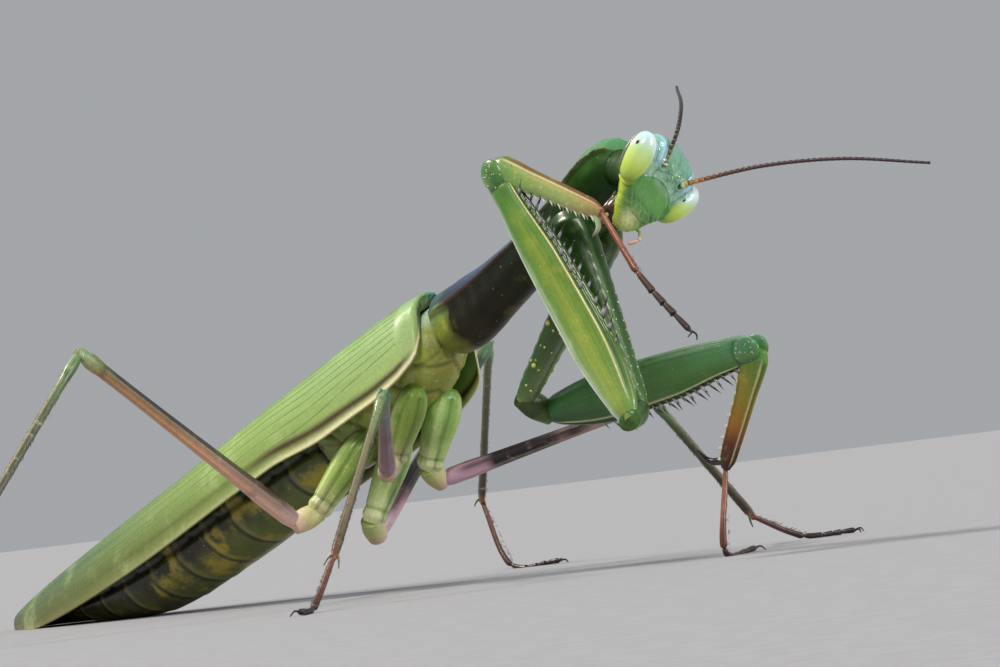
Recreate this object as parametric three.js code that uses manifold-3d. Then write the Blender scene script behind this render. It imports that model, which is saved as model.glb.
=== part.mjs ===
// Praying mantis (adult female, green form), life size, standing with its fore body raised.
// Units: mm. +Z is up, the animal faces -Y, its right side is towards -X, its feet stand on z = 0.
import * as THREE from 'three';
import { mergeVertices } from 'three/addons/utils/BufferGeometryUtils.js';
import Module from 'manifold-3d';

const wasm = await Module();
wasm.setup();

// ---------------------------------------------------------------- driving sizes
const GAP = 0.16; // clear space between neighbouring plates
const SPINE_FOOT = 0.3; // how deep a spine is rooted in its limb
const FOOT_AXIS = 0.3; // height of the middle of a foot that lies on the floor
const FLOOR_BLOCK = 200; // block below z = 0 that flattens the feet

// The waist is the joint between prothorax and pterothorax.
const WAIST = new THREE.Vector3(7.4, -5.13, 14.7);

const FORE_BODY = { heading: -97, rise: 20.8, roll: -9, length: 18 };
const HIND_BODY = { heading: -90, rise: 19.8, roll: -10 };
const THORAX_LENGTH = 10.4; // meso- and metathorax together
const ABDOMEN_LENGTH = 27;
const WING_LENGTH = 42.2;

const HEAD = { heading: -91, rise: -32, roll: -35.5 };
const EYE = { out: 2.48, up: 0.28, forward: 0.2, width: 0.72, height: 1.4, depth: 0.82, lean: 18 };
const CROWN = 2.3; // height of the crown above the middle of the eyes
const CHIN = 2.95; // depth of the mouth below it

// Length of each leg piece, with its heading and rise in the standing pose (degrees).
const LEGS = {
  fore_right: {
    coxa: [11.76, -106.5, -64.2], trochanter: [1.9, -150, -13], femur: [15.8, 89, 61],
    tibia: [7.4, -85, -25], tarsus: [[4.3, -93, -57], [4.3, -92, -46]],
  },
  fore_left: {
    coxa: [12.77, 82, -42.6], trochanter: [1.6, -12, -30], femur: [15.3, -88, 7],
    tibia: [7.2, 79, -57], tarsus: [[4.2, 174, -80], [3.6, 16, 0]],
  },
  mid_right: {
    coxa: [4.2, 84, -58], trochanter: [1.2, -153, -24], femur: [12.8, -132, 18],
    tibia: [11.2, -160, -46], tarsus: [[3.6, -161, -41], [2.6, -147, 0]],
  },
  mid_left: {
    coxa: [4.2, 109, -63], trochanter: [1.2, 12, -32], femur: [12.8, -58, 13],
    tibia: [11.2, 10, -39], tarsus: [[3.4, -23, -26], [3.0, -38, 0]],
  },
  hind_right: {
    coxa: [4.8, 138, -53], trochanter: [1.2, 159, -20], femur: [16.6, 174, 39],
    tibia: [16.4, -177, -45], tarsus: [[4.4, -176, -44], [3.6, 178, 0]],
  },
  hind_left: {
    coxa: [4.8, 138, -61], trochanter: [1.2, 33, -36], femur: [16.6, 10, 38],
    tibia: [16.4, 52, -34], tarsus: [[4.4, -95, -61], [3.6, -80, 0]],
  },
};

// Where each coxa leaves the trunk: [forward of the waist, to the left, up].
const HIP = {
  fore_right: [14.0, -1.5, -1.3],
  fore_left: [14.0, 1.5, -1.3],
  mid_right: [-2.6, -1.5, -3.6],
  mid_left: [-2.6, 1.5, -3.6],
  hind_right: [-7.3, -1.6, -4.1],
  hind_left: [-7.3, 1.6, -4.1],
};

// ---------------------------------------------------------------- colours
const LEAF = 0x6fa04a;
const DEEP_GREEN = 0x3f7434;
const PALE_GREEN = 0x9cc07a;
const OLIVE = 0x7d7a3c;
const EYE_GREEN = 0xc3dc8e;
const ROSE_BROWN = 0x8a6a58;
const DARK_BROWN = 0x4a362c;

function finish(colour, roughness = 0.45) {
  return new THREE.MeshStandardMaterial({ color: colour, roughness, metalness: 0 });
}

const mantis = new THREE.Group();
mantis.name = 'praying_mantis';

// ---------------------------------------------------------------- directions and frames
const rad = THREE.MathUtils.degToRad;
const mix = THREE.MathUtils.lerp;
const UP = new THREE.Vector3(0, 0, 1);

function direction(heading, rise) {
  const level = Math.cos(rad(rise));
  const [x, y] = [level * Math.cos(rad(heading)), level * Math.sin(rad(heading))];
  return new THREE.Vector3(x, y, Math.sin(rad(rise)));
}

// Right-handed frame of a body part: forward, left and up, rolled about its forward axis.
function bodyFrame({ heading, rise, roll }) {
  const forward = direction(heading, rise);
  const level = new THREE.Vector3().crossVectors(UP, forward).normalize();
  const left = level.applyAxisAngle(forward, rad(roll));
  const up = new THREE.Vector3().crossVectors(forward, left);
  return { forward, left, up };
}

function placed(origin, frame, [forward, left, up]) {
  return origin.clone()
    .addScaledVector(frame.forward, forward)
    .addScaledVector(frame.left, left)
    .addScaledVector(frame.up, up);
}

// ---------------------------------------------------------------- solids
function toSolid(geometry) {
  const bare = geometry.clone();
  bare.deleteAttribute('normal');
  bare.deleteAttribute('uv');
  const merged = mergeVertices(bare, 1e-5);
  return new wasm.Manifold(new wasm.Mesh({
    numProp: 3,
    vertProperties: new Float32Array(merged.attributes.position.array),
    triVerts: new Uint32Array(merged.index.array),
  }));
}

function toGeometry(solid) {
  const cut = solid.getMesh();
  const geometry = new THREE.BufferGeometry();
  geometry.setAttribute('position', new THREE.BufferAttribute(new Float32Array(cut.vertProperties), 3));
  geometry.setIndex(new THREE.BufferAttribute(new Uint32Array(cut.triVerts), 1));
  geometry.computeVertexNormals();
  return geometry;
}

// The largest of the pieces that a cut leaves.
function mainPiece(solid) {
  const pieces = solid.decompose();
  return pieces.reduce((best, piece) => (piece.volume() > best.volume() ? piece : best));
}

function cutBy(solid, neighbours) {
  return mainPiece(neighbours.reduce((rest, neighbour) => rest.subtract(neighbour), solid));
}

function joined(solids) {
  return solids.reduce((whole, solid) => whole.add(solid));
}

function addNode(name, solid, material) {
  const node = new THREE.Mesh(toGeometry(solid), material);
  node.name = name;
  mantis.add(node);
}

// Smooth value between stations [position, value...] along 0..1.
function stationValue(stations, t, column) {
  const last = stations.length - 1;
  if (t <= stations[0][0]) return stations[0][column];
  if (t >= stations[last][0]) return stations[last][column];
  const i = stations.findIndex((station) => t <= station[0]) - 1;
  const [a, b] = [stations[i], stations[i + 1]];
  const s = (t - a[0]) / (b[0] - a[0]);
  return mix(a[column], b[column], s * s * (3 - 2 * s));
}

// A closed solid round a path. A station is [t, half width, half height, lift]:
// the width lies across the path's up direction, and the lift moves the middle along it.
function loft({ path, up, stations, around = 8, along = 7, grow = 0, round = 1 }) {
  const shell = new THREE.CylinderGeometry(1, 1, 1, around, along);
  const points = shell.attributes.position;
  const point = new THREE.Vector3();
  for (let i = 0; i < points.count; i += 1) {
    point.fromBufferAttribute(points, i);
    const u = point.y + 0.5;
    const t = mix(u, 0.5 - 0.5 * Math.cos(Math.PI * u), round);
    const middle = path(t);
    const tangent = path(Math.min(t + 0.01, 1)).sub(path(Math.max(t - 0.01, 0))).normalize();
    const side = new THREE.Vector3().crossVectors(tangent, up).normalize();
    const rise = new THREE.Vector3().crossVectors(side, tangent);
    const lift = stationValue(stations, t, 3) || 0;
    const width = stationValue(stations, t, 1) + grow;
    const height = stationValue(stations, t, 2) + grow;
    middle.addScaledVector(side, point.x * width);
    middle.addScaledVector(rise, lift + point.z * height);
    middle.addScaledVector(tangent, 2 * (u - 0.5) * grow * (u === 0 || u === 1 ? 1 : 0));
    points.setXYZ(i, middle.x, middle.y, middle.z);
  }
  const solid = toSolid(shell);
  return solid.volume() < 0 ? toSolid(flipped(shell)) : solid;
}

function flipped(geometry) {
  const turned = geometry.clone();
  const index = turned.index.array;
  for (let i = 0; i < index.length; i += 3) {
    [index[i], index[i + 1]] = [index[i + 1], index[i]];
  }
  return turned;
}

const straight = (start, end) => (t) => start.clone().lerp(end, t);

// A path through given points, smooth at each of them.
function smooth(points) {
  const curve = new THREE.CatmullRomCurve3(points, false, 'centripetal');
  return (t) => curve.getPoint(t);
}

function spine(foot, tip, radius) {
  const cone = new THREE.ConeGeometry(radius, 1, 3);
  const axis = tip.clone().sub(foot);
  const coneAxis = new THREE.Vector3(0, 1, 0);
  const turn = new THREE.Quaternion().setFromUnitVectors(coneAxis, axis.clone().normalize());
  cone.scale(1, axis.length(), 1);
  cone.applyQuaternion(turn);
  cone.translate(...foot.clone().lerp(tip, 0.5).toArray());
  return toSolid(cone);
}

function ellipsoid(centre, frame, [depth, width, height], across = 12, down = 8) {
  const ball = new THREE.SphereGeometry(1, across, down);
  const turn = new THREE.Matrix4().makeBasis(
    frame.forward.clone().multiplyScalar(depth),
    frame.left.clone().multiplyScalar(width),
    frame.up.clone().multiplyScalar(height),
  );
  turn.setPosition(centre);
  ball.applyMatrix4(turn);
  return toSolid(ball);
}

const floorGeometry = new THREE.BoxGeometry(FLOOR_BLOCK, FLOOR_BLOCK, 10);
floorGeometry.translate(0, 0, -5);
const floor = toSolid(floorGeometry);

// ---------------------------------------------------------------- trunk
const fore = bodyFrame(FORE_BODY);
const hind = bodyFrame(HIND_BODY);
const collar = placed(WAIST, fore, [FORE_BODY.length, 0, 0]);

// Prothorax: narrow saddle, widest over the fore coxae.
function prothorax(grow = 0) {
  return loft({
    path: straight(WAIST, collar), up: fore.up, around: 12, along: 12, grow,
    stations: [
      [0, 1.3, 1.5, -0.55], [0.05, 1.85, 2.0, -0.78], [0.15, 1.8, 1.95, -0.97], [0.3, 1.72, 1.58, -0.92],
      [0.55, 1.72, 1.25, -0.74], [0.72, 2.25, 1.48, -0.85], [0.82, 2.3, 1.5, -0.55],
      [0.91, 2.05, 1.5, 0], [0.97, 1.7, 1.3, 0.3], [1, 1.2, 0.95, 0.35],
    ],
  });
}

// Meso- and metathorax: a deep keel that carries four legs and both pairs of wings.
const thoraxFront = placed(WAIST, hind, [-GAP, 0, 0]);
const thoraxBack = placed(WAIST, hind, [-THORAX_LENGTH, 0, 0]);
function pterothorax(grow = 0) {
  return loft({
    path: straight(thoraxFront, thoraxBack), up: hind.up, around: 12, along: 8, grow,
    stations: [
      [0, 1.55, 1.75, -0.9], [0.1, 1.95, 2.05, -1.25], [0.35, 2.2, 2.5, -1.75],
      [0.75, 2.4, 2.55, -2.2], [0.95, 2.4, 2.3, -2.5], [1, 2.0, 1.9, -2.7],
    ],
  });
}

// Abdomen: three lengths of one spindle, sagging to the floor near its end.
const abdomenPath = smooth([
  placed(WAIST, hind, [-THORAX_LENGTH - GAP, 0, -2.7]),
  placed(WAIST, hind, [-THORAX_LENGTH - 9, 0, -3.0]),
  placed(WAIST, hind, [-THORAX_LENGTH - 18, 0, -2.9]),
  placed(WAIST, hind, [-THORAX_LENGTH - ABDOMEN_LENGTH, 0, -1.5]),
]);
const ABDOMEN_STATIONS = [
  [0, 1.9, 1.9], [0.06, 2.4, 2.2], [0.3, 2.8, 2.45], [0.62, 2.85, 2.35],
  [0.85, 2.2, 1.6], [0.96, 1.2, 0.8], [1, 0.6, 0.4],
];
function abdomen(grow = 0) {
  return loft({
    path: abdomenPath, up: hind.up, around: 12, along: 12, stations: ABDOMEN_STATIONS, grow,
  });
}

// A thin slab across the abdomen that parts two of its lengths.
function partingSlab(t) {
  const slab = new THREE.BoxGeometry(GAP, 14, 14);
  const turn = new THREE.Matrix4().makeBasis(hind.forward, hind.left, hind.up);
  turn.setPosition(abdomenPath(t));
  slab.applyMatrix4(turn);
  return toSolid(slab);
}

function abdomenLengths() {
  const whole = abdomen().subtract(floor);
  const parted = whole.subtract(partingSlab(0.36)).subtract(partingSlab(0.7));
  const along = (piece) => {
    const { min, max } = piece.boundingBox();
    return (min[1] + max[1]) / 2;
  };
  return parted.decompose().sort((a, b) => along(a) - along(b));
}

// ---------------------------------------------------------------- wings
// A wing is a bent plate, roof-shaped across the back. root and length are measured backwards
// from the waist; across = 0 is its inner edge over the back and 1 its outer (costal) edge.
const INNER_EDGE = 0.1; // distance of the inner edges from the mid line
const WING_THICKNESS = 0.5;
const ROOF_SHAPE = 0.75; // below 1 a wing is flat on top and steep at its side
const SHOULDER = 0.3; // share of the length over which a wing widens
const TEGMEN = {
  root: 0.8, length: WING_LENGTH - 0.8, reach: 3.45, rootReach: 2.5,
  drop: [[0, 3.2], [0.04, 4.6], [0.1, 5.0], [0.18, 5.0], [0.3, 4.5], [0.5, 4.3], [1, 4.2]],
  crown: [[0, 1.4], [0.35, 0.85], [0.6, 0.5], [1, 0.3]],
};
const HIND_WING = {
  root: 11, length: WING_LENGTH - 11.8, reach: 2.1, rootReach: 1.7,
  drop: [[0, 0.8], [0.3, 0.95], [1, 0.95]],
  crown: [[0, -0.08], [0.4, -0.12], [1, -0.45]],
};

// Place of a wing's middle surface, as [out from the mid line, height above the waist].
function wingSurface({ reach, rootReach, drop, crown }, across, t) {
  const open = Math.min(t / SHOULDER, 1);
  const tip = Math.sqrt(1 - 0.96 * THREE.MathUtils.clamp((t - 0.5) / 0.5, 0, 1) ** 2.2);
  const angle = across * Math.PI / 2;
  const out = mix(rootReach, reach, Math.sin(open * Math.PI / 2)) * tip;
  const fall = stationValue(drop, t, 1) * tip;
  return [
    INNER_EDGE + out * Math.sin(angle) ** ROOF_SHAPE,
    stationValue(crown, t, 1) - fall * (1 - Math.cos(angle) ** ROOF_SHAPE),
  ];
}

function wing(shape, side) {
  const plate = new THREE.BoxGeometry(1, 1, 1, 5, 14, 1);
  const points = plate.attributes.position;
  const nudge = 0.05;
  for (let i = 0; i < points.count; i += 1) {
    const across = points.getX(i) + 0.5;
    const t = points.getY(i) + 0.5;
    const [out, height] = wingSurface(shape, across, t);
    const inner = new THREE.Vector2(...wingSurface(shape, Math.max(across - nudge, 0), t));
    const outer = new THREE.Vector2(...wingSurface(shape, Math.min(across + nudge, 1), t));
    const slope = outer.sub(inner).normalize();
    const offset = points.getZ(i) * WING_THICKNESS;
    const outward = across === 0 ? out : out - slope.y * offset;
    const back = -(shape.root + shape.length * t);
    const place = placed(WAIST, hind, [back, side * outward, height + slope.x * offset]);
    points.setXYZ(i, place.x, place.y, place.z);
  }
  const solid = toSolid(plate);
  return solid.volume() < 0 ? toSolid(flipped(plate)) : solid;
}

// ---------------------------------------------------------------- head
const head = bodyFrame(HEAD);
const FACE = new THREE.Vector3(-2.8, -19.1, 4.9); // middle of the head, from the waist
const faceCentre = WAIST.clone().add(FACE);

// Front of the head: a rounded triangle, wide between the eyes and narrow at the mouth.
// Each table runs over the height, from the chin to the crown.
const FACE_WIDTH = [
  [-2.95, 2.3], [-2.4, 1.6], [-1.7, 1.72], [-0.5, 2.28], [0.8, 2.75], [1.5, 3.1], [2.3, 3.7],
];
const SKULL_DEPTH = [[-2.95, 0.6], [-1.5, 0.82], [0.5, 1.28], [2.3, 1.25]];
const FLAT_FRONT = [[-2.95, 0.4], [-1.6, 0.62], [0.4, 0.74], [1.0, 0.82], [2.3, 0.15]];
const BROW = 1.6; // depth of the face before it is flattened
function headCapsule() {
  const ball = new THREE.SphereGeometry(1, 16, 12);
  const points = ball.attributes.position;
  for (let i = 0; i < points.count; i += 1) {
    const [x, y, z] = [points.getX(i), points.getY(i), points.getZ(i)];
    const height = z * (z > 0 ? CROWN : CHIN);
    const width = y * stationValue(FACE_WIDTH, height, 1);
    const front = Math.min(x * BROW, stationValue(FLAT_FRONT, height, 1));
    const depth = x > 0 ? front : x * stationValue(SKULL_DEPTH, height, 1);
    const place = placed(faceCentre, head, [depth, width, height]);
    points.setXYZ(i, place.x, place.y, place.z);
  }
  return toSolid(ball);
}

function eyeBall(side, grow = 0) {
  const tilt = rad(EYE.lean) * side;
  const eyeFrame = {
    forward: head.forward.clone(),
    left: head.left.clone().applyAxisAngle(head.forward, -tilt),
    up: head.up.clone().applyAxisAngle(head.forward, -tilt),
  };
  const centre = placed(faceCentre, head, [EYE.forward, side * EYE.out, EYE.up]);
  return ellipsoid(centre, eyeFrame, [EYE.depth + grow, EYE.width + grow, EYE.height + grow]);
}

const headBack = placed(faceCentre, head, [-1.0, 0, 0.1]);

function buildHead() {
  const eyes = [-1, 1].map((side) => eyeBall(side));
  const grownEyes = [-1, 1].map((side) => eyeBall(side, GAP));
  const capsule = headCapsule();
  addNode('eye_right', eyes[0], finish(EYE_GREEN, 0.15));
  addNode('eye_left', eyes[1], finish(EYE_GREEN, 0.15));

  // Mandibles: a blunt wedge behind the upper lip.
  const jaw = loft({
    path: straight(placed(faceCentre, head, [-0.5, 0, -1.6]), placed(faceCentre, head, [-0.5, 0, -3.2])),
    up: head.forward, around: 6, along: 3,
    stations: [[0, 0.6, 0.5], [0.5, 0.6, 0.5], [1, 0.3, 0.3]],
  });
  addNode('head', cutBy(capsule, grownEyes), finish(LEAF, 0.3));
  const grownCapsule = joined([capsule, headCapsuleGrown()]);
  addNode('mouthparts', cutBy(jaw, [grownCapsule]), finish(ROSE_BROWN));

  // Palps: the left one bends down in front of the mouth, the right one is folded back.
  const palpKnots = {
    left: [[0.2, 0.95, -2.15], [0.75, 1.1, -2.4], [1.02, 0.9, -2.75], [0.7, 0.77, -3.2]],
    right: [[-0.3, -0.95, -2.2], [-0.3, -1.0, -2.7], [-0.45, -1.0, -2.95], [-0.7, -1.0, -3.0]],
  };
  for (const [side, knots] of Object.entries(palpKnots)) {
    const palp = loft({
      path: smooth(knots.map((knot) => placed(faceCentre, head, knot))),
      up: UP, around: 6, along: 4,
      stations: [[0, 0.2, 0.2], [0.9, 0.19, 0.19], [1, 0.1, 0.1]],
    });
    addNode(`palp_${side}`, cutBy(palp, [grownCapsule]), finish(ROSE_BROWN));
  }

  const neckPath = straight(placed(WAIST, fore, [FORE_BODY.length - 0.8, 0, 0]), headBack);
  const neck = loft({
    path: neckPath, up: fore.up, around: 10, along: 2, stations: [[0, 1.15, 1.1], [1, 1.15, 1.1]],
  });
  addNode('neck', cutBy(neck, [prothorax(GAP), grownCapsule, ...grownEyes]), finish(DEEP_GREEN));

  buildAntennae(grownCapsule);
}

function headCapsuleGrown() {
  const shell = toGeometry(headCapsule());
  const points = shell.attributes.position;
  const normals = shell.attributes.normal;
  for (let i = 0; i < points.count; i += 1) {
    points.setXYZ(
      i,
      points.getX(i) + GAP * normals.getX(i),
      points.getY(i) + GAP * normals.getY(i),
      points.getZ(i) + GAP * normals.getZ(i),
    );
  }
  return toSolid(shell);
}

// Antennae: the left one reaches out level, the right one rises and sweeps back over the body.
const ANTENNA_RADIUS = 0.26;
const ANTENNA_ROOT = { forward: 0.78, out: 1.05, up: 0.93 };
function buildAntennae(grownCapsule) {
  const bends = {
    left: [[4.2, -50, 6], [4.2, -50, -2], [4.2, -50, -10]],
    right: [[1.6, -60, 60], [2.5, 30, 36], [5.7, 43, 16]],
  };
  for (const [name, steps] of Object.entries(bends)) {
    const side = name === 'left' ? 1 : -1;
    const { forward, out, up } = ANTENNA_ROOT;
    const points = [placed(faceCentre, head, [forward, side * out, up])];
    for (const [length, heading, rise] of steps) {
      points.push(points[points.length - 1].clone().addScaledVector(direction(heading, rise), length));
    }
    const antenna = loft({
      path: smooth(points), up: UP.clone().add(head.left), around: 6, along: 12, round: 0,
      stations: [[0, 0.34, 0.34], [0.06, 0.3, 0.3], [0.1, ANTENNA_RADIUS, ANTENNA_RADIUS], [1, 0.24, 0.24]],
    });
    addNode(`antenna_${name}`, cutBy(antenna, [grownCapsule]), finish(DARK_BROWN));
  }
}

// ---------------------------------------------------------------- legs
// A foot whose last length lies level stands on the floor.
const standsOnFloor = (name) => LEGS[name].tarsus[1][2] === 0;

// Joint points of one leg, from its hip to its toe.
function legPoints(name) {
  const leg = LEGS[name];
  const trunkFrame = name.startsWith('fore') ? fore : hind;
  const hip = placed(WAIST, trunkFrame, HIP[name]);
  const step = (from, [length, heading, rise]) => (
    from.clone().addScaledVector(direction(heading, rise), length)
  );
  const knuckle = step(hip, leg.coxa);
  const hinge = step(knuckle, leg.trochanter);
  const knee = step(hinge, leg.femur);
  const ankle = step(knee, leg.tibia);
  const instep = step(ankle, leg.tarsus[0]);
  const toe = step(instep, leg.tarsus[1]);
  if (standsOnFloor(name)) {
    instep.z = FOOT_AXIS;
    toe.z = FOOT_AXIS;
  }
  return { hip, knuckle, hinge, knee, ankle, instep, toe };
}

// Widths of the leg pieces: [t, half thickness across the leg's plane, half depth in it, lift].
const FORE_STATIONS = {
  coxa: [
    [0, 0.7, 0.9], [0.08, 1.05, 1.45], [0.4, 0.9, 1.2], [0.8, 0.75, 0.86], [0.97, 0.66, 0.7],
    [1, 0.45, 0.5],
  ],
  trochanter: [[0, 0.5, 0.6], [0.5, 0.74, 0.84], [1, 0.5, 0.6]],
  femur: [
    [0, 0.4, 0.5], [0.06, 0.65, 0.9], [0.32, 0.75, 1.6], [0.6, 0.75, 1.5], [0.86, 0.65, 0.95],
    [0.96, 0.6, 0.85], [1, 0.3, 0.4],
  ],
  tibia: [[0, 0.35, 0.4], [0.08, 0.5, 0.74], [0.4, 0.42, 0.62], [0.9, 0.36, 0.5], [1, 0.25, 0.3]],
};
const WALK_STATIONS = {
  coxa: [[0, 0.7, 0.8], [0.15, 1.0, 1.15], [0.75, 0.75, 0.85], [0.97, 0.65, 0.7], [1, 0.4, 0.4]],
  trochanter: [[0, 0.35, 0.4], [0.5, 0.62, 0.68], [1, 0.35, 0.4]],
  femur: [
    [0, 0.33, 0.38], [0.06, 0.5, 0.55], [0.3, 0.43, 0.47], [0.85, 0.34, 0.37], [0.95, 0.44, 0.48],
    [1, 0.28, 0.28],
  ],
  tibia: [[0, 0.22, 0.25], [0.06, 0.36, 0.38], [0.4, 0.28, 0.3], [0.93, 0.29, 0.31], [1, 0.2, 0.2]],
};
const HIND_THICKENING = 1.06; // hind femora are the stoutest

function thicker(stations, factor) {
  return stations.map(([t, width, height, lift = 0]) => [t, width * factor, height * factor, lift]);
}

// The plane in which a leg folds; the piece's depth lies in it.
function foldUp(from, middle, to) {
  const axis = middle.clone().sub(from).normalize();
  const next = to.clone().sub(middle);
  return next.addScaledVector(axis, -next.dot(axis)).normalize();
}

// Two rows of spines on the gripping edge of a fore femur or tibia, long and short in turn.
const ROW_SPACING = 0.28; // each row's distance from the middle of the edge
const ROW_SPLAY = 0.2; // how far the tips lean outwards
const SHORT_SPINE = 0.7;
function spineRows({ start, end, inward, across, count, from, to, edge, length, lean, radius }) {
  const axis = end.clone().sub(start);
  const along = axis.clone().normalize();
  const spines = [];
  for (const row of [-1, 1]) {
    for (let i = 0; i < count; i += 1) {
      const t = mix(from, to, i / (count - 1));
      const share = i % 2 === 0 ? 1 : SHORT_SPINE;
      const foot = start.clone().addScaledVector(axis, t)
        .addScaledVector(inward, edge(t) - SPINE_FOOT).addScaledVector(across, row * ROW_SPACING);
      const tip = foot.clone().addScaledVector(inward, SPINE_FOOT + length * share)
        .addScaledVector(across, row * ROW_SPLAY).addScaledVector(along, lean * length);
      spines.push(spine(foot, tip, radius));
    }
  }
  return spines;
}

const TARSUS_STATIONS = [
  [0, 0.2, 0.2], [0.08, 0.3, 0.3], [0.5, 0.28, 0.28], [0.9, 0.34, 0.34], [1, 0.26, 0.3],
];
const NEARLY_UP = new THREE.Vector3(0.2, 0.1, 1); // never parallel to a foot
function tarsus(points, onFloor) {
  const foot = loft({
    path: smooth([points.ankle, points.instep, points.toe]), up: NEARLY_UP,
    stations: TARSUS_STATIONS, around: 6, along: 7,
  });
  return onFloor ? foot.subtract(floor) : foot;
}

function buildLeg(name, trunk) {
  const points = legPoints(name);
  const isFore = name.startsWith('fore');
  const isHind = name.startsWith('hind');
  const shape = isFore ? FORE_STATIONS : WALK_STATIONS;
  const stout = isHind ? HIND_THICKENING : 1;
  const plane = foldUp(points.hinge, points.knee, points.ankle);
  const across = new THREE.Vector3().crossVectors(points.knee.clone().sub(points.hinge).normalize(), plane);

  const piece = (from, to, up, stations, options = {}) => (grow) => loft({
    path: straight(points[from], points[to]), up, stations, grow, ...options,
  });
  const coxa = piece('hip', 'knuckle', plane, shape.coxa, { along: 5 });
  const trochanter = piece('knuckle', 'hinge', plane, shape.trochanter, { along: 3, around: 6 });
  const fineness = isFore ? { along: 10, around: 8 } : { along: 7, around: 8 };
  const femur = piece('hinge', 'knee', plane, thicker(shape.femur, stout), fineness);
  const tibia = piece('knee', 'ankle', foldUp(points.knee, points.ankle, points.hinge), shape.tibia);

  const leftRight = name.split('_')[1];
  const pair = name.split('_')[0];
  const nodeName = (part) => `${pair}_${part}_${leftRight}`;
  const skin = isFore ? finish(LEAF, 0.35) : finish(ROSE_BROWN, 0.4);

  const coxaSolid = cutBy(coxa(0), [trunk, trochanter(GAP)]);
  addNode(nodeName('coxa'), coxaSolid, finish(isFore ? DEEP_GREEN : PALE_GREEN, 0.35));
  addNode(nodeName('trochanter'), cutBy(trochanter(0), [femur(GAP)]), finish(PALE_GREEN, 0.35));

  let femurSolid = femur(0);
  let tibiaSolid = tibia(0);
  if (isFore) {
    femurSolid = joined([femurSolid, ...spineRows({
      start: points.hinge, end: points.knee, inward: plane, across, count: 7, from: 0.3, to: 0.82,
      edge: (t) => stationValue(shape.femur, t, 2), length: 0.85, lean: 0.2, radius: 0.16,
    })]);
    const inward = foldUp(points.knee, points.ankle, points.hinge);
    tibiaSolid = joined([tibiaSolid, ...spineRows({
      start: points.knee, end: points.ankle, inward, across, count: 6, from: 0.22, to: 0.86,
      edge: (t) => stationValue(shape.tibia, t, 2), length: 0.5, lean: 0.35, radius: 0.13,
    }), claw(points, inward)]);
  }
  addNode(nodeName('femur'), femurSolid, skin);
  addNode(nodeName('tibia'), cutBy(tibiaSolid, [femur(GAP)]), skin);

  const foot = cutBy(tarsus(points, standsOnFloor(name)), [tibia(GAP)]);
  addNode(nodeName('tarsus'), foot, finish(DARK_BROWN, 0.5));
}

// The hooked claw at the end of a fore tibia.
const CLAW = {
  length: 1.7, back: 0.5, rise: 0.15, bendAlong: 0.4, bendIn: 0.35, tipAlong: 0.4, tipIn: 0.95,
};
function claw(points, inward) {
  const along = points.ankle.clone().sub(points.knee).normalize();
  const at = (from, a, b) => from.clone().addScaledVector(along, a).addScaledVector(inward, b);
  const root = at(points.ankle, -CLAW.back, CLAW.rise);
  const bend = at(root, CLAW.length * CLAW.bendAlong, CLAW.length * CLAW.bendIn);
  const tip = at(root, CLAW.length * CLAW.tipAlong, CLAW.length * CLAW.tipIn);
  const sideways = new THREE.Vector3().crossVectors(along, inward);
  return loft({
    path: smooth([root, bend, tip]), up: sideways, around: 6, along: 5,
    stations: [[0, 0.26, 0.26], [0.5, 0.2, 0.2], [1, 0.05, 0.05]], round: 0,
  });
}

// ---------------------------------------------------------------- assembly
addNode('prothorax', prothorax(), finish(DEEP_GREEN, 0.4));
addNode('pterothorax', cutBy(pterothorax(), [prothorax(GAP)]), finish(PALE_GREEN, 0.5));
const grownThorax = pterothorax(GAP);
abdomenLengths().forEach((length, i) => {
  addNode(`abdomen_${['front', 'middle', 'rear'][i]}`, cutBy(length, [grownThorax]), finish(OLIVE, 0.55));
});

for (const [sideName, side] of [['right', -1], ['left', 1]]) {
  const onFloor = (shape) => wing(shape, side).subtract(floor);
  addNode(`hind_wing_${sideName}`, onFloor(HIND_WING), finish(PALE_GREEN, 0.4));
  addNode(`tegmen_${sideName}`, onFloor(TEGMEN), finish(LEAF, 0.4));
}

buildHead();
for (const name of Object.keys(LEGS)) {
  buildLeg(name, name.startsWith('fore') ? prothorax(GAP) : grownThorax);
}

export default mantis;
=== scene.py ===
# %% [markdown]
# # A praying mantis, life size
# The model is a museum figure of a female mantis in her green form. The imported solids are
# the armature: every piece below is a finer shell of the same limb or plate, in the same
# place. Lengths in the cells are in millimetres, and one factor turns them to metres when
# a mesh is made.

import math
from types import SimpleNamespace

import bmesh
import bpy
import numpy as np
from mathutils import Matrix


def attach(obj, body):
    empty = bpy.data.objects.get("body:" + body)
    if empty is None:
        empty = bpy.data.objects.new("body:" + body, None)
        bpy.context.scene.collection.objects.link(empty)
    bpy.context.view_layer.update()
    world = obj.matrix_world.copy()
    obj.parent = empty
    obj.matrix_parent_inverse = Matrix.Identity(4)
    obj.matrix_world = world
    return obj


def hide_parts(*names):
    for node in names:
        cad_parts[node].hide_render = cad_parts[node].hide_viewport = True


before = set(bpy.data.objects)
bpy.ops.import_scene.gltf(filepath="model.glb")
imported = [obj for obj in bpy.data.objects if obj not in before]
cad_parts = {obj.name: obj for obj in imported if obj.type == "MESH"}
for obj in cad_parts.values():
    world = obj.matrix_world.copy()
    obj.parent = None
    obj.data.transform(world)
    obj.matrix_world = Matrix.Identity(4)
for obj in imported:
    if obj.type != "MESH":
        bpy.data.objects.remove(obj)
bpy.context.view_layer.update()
MM = 0.001

# %% [markdown]
# ## Camera
# A long lens near the floor looks slightly up at the animal from its front right. The view
# is given by its forward, right and up directions, which become the camera's axes.

# %% Set the camera
from mathutils import Matrix, Vector

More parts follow.
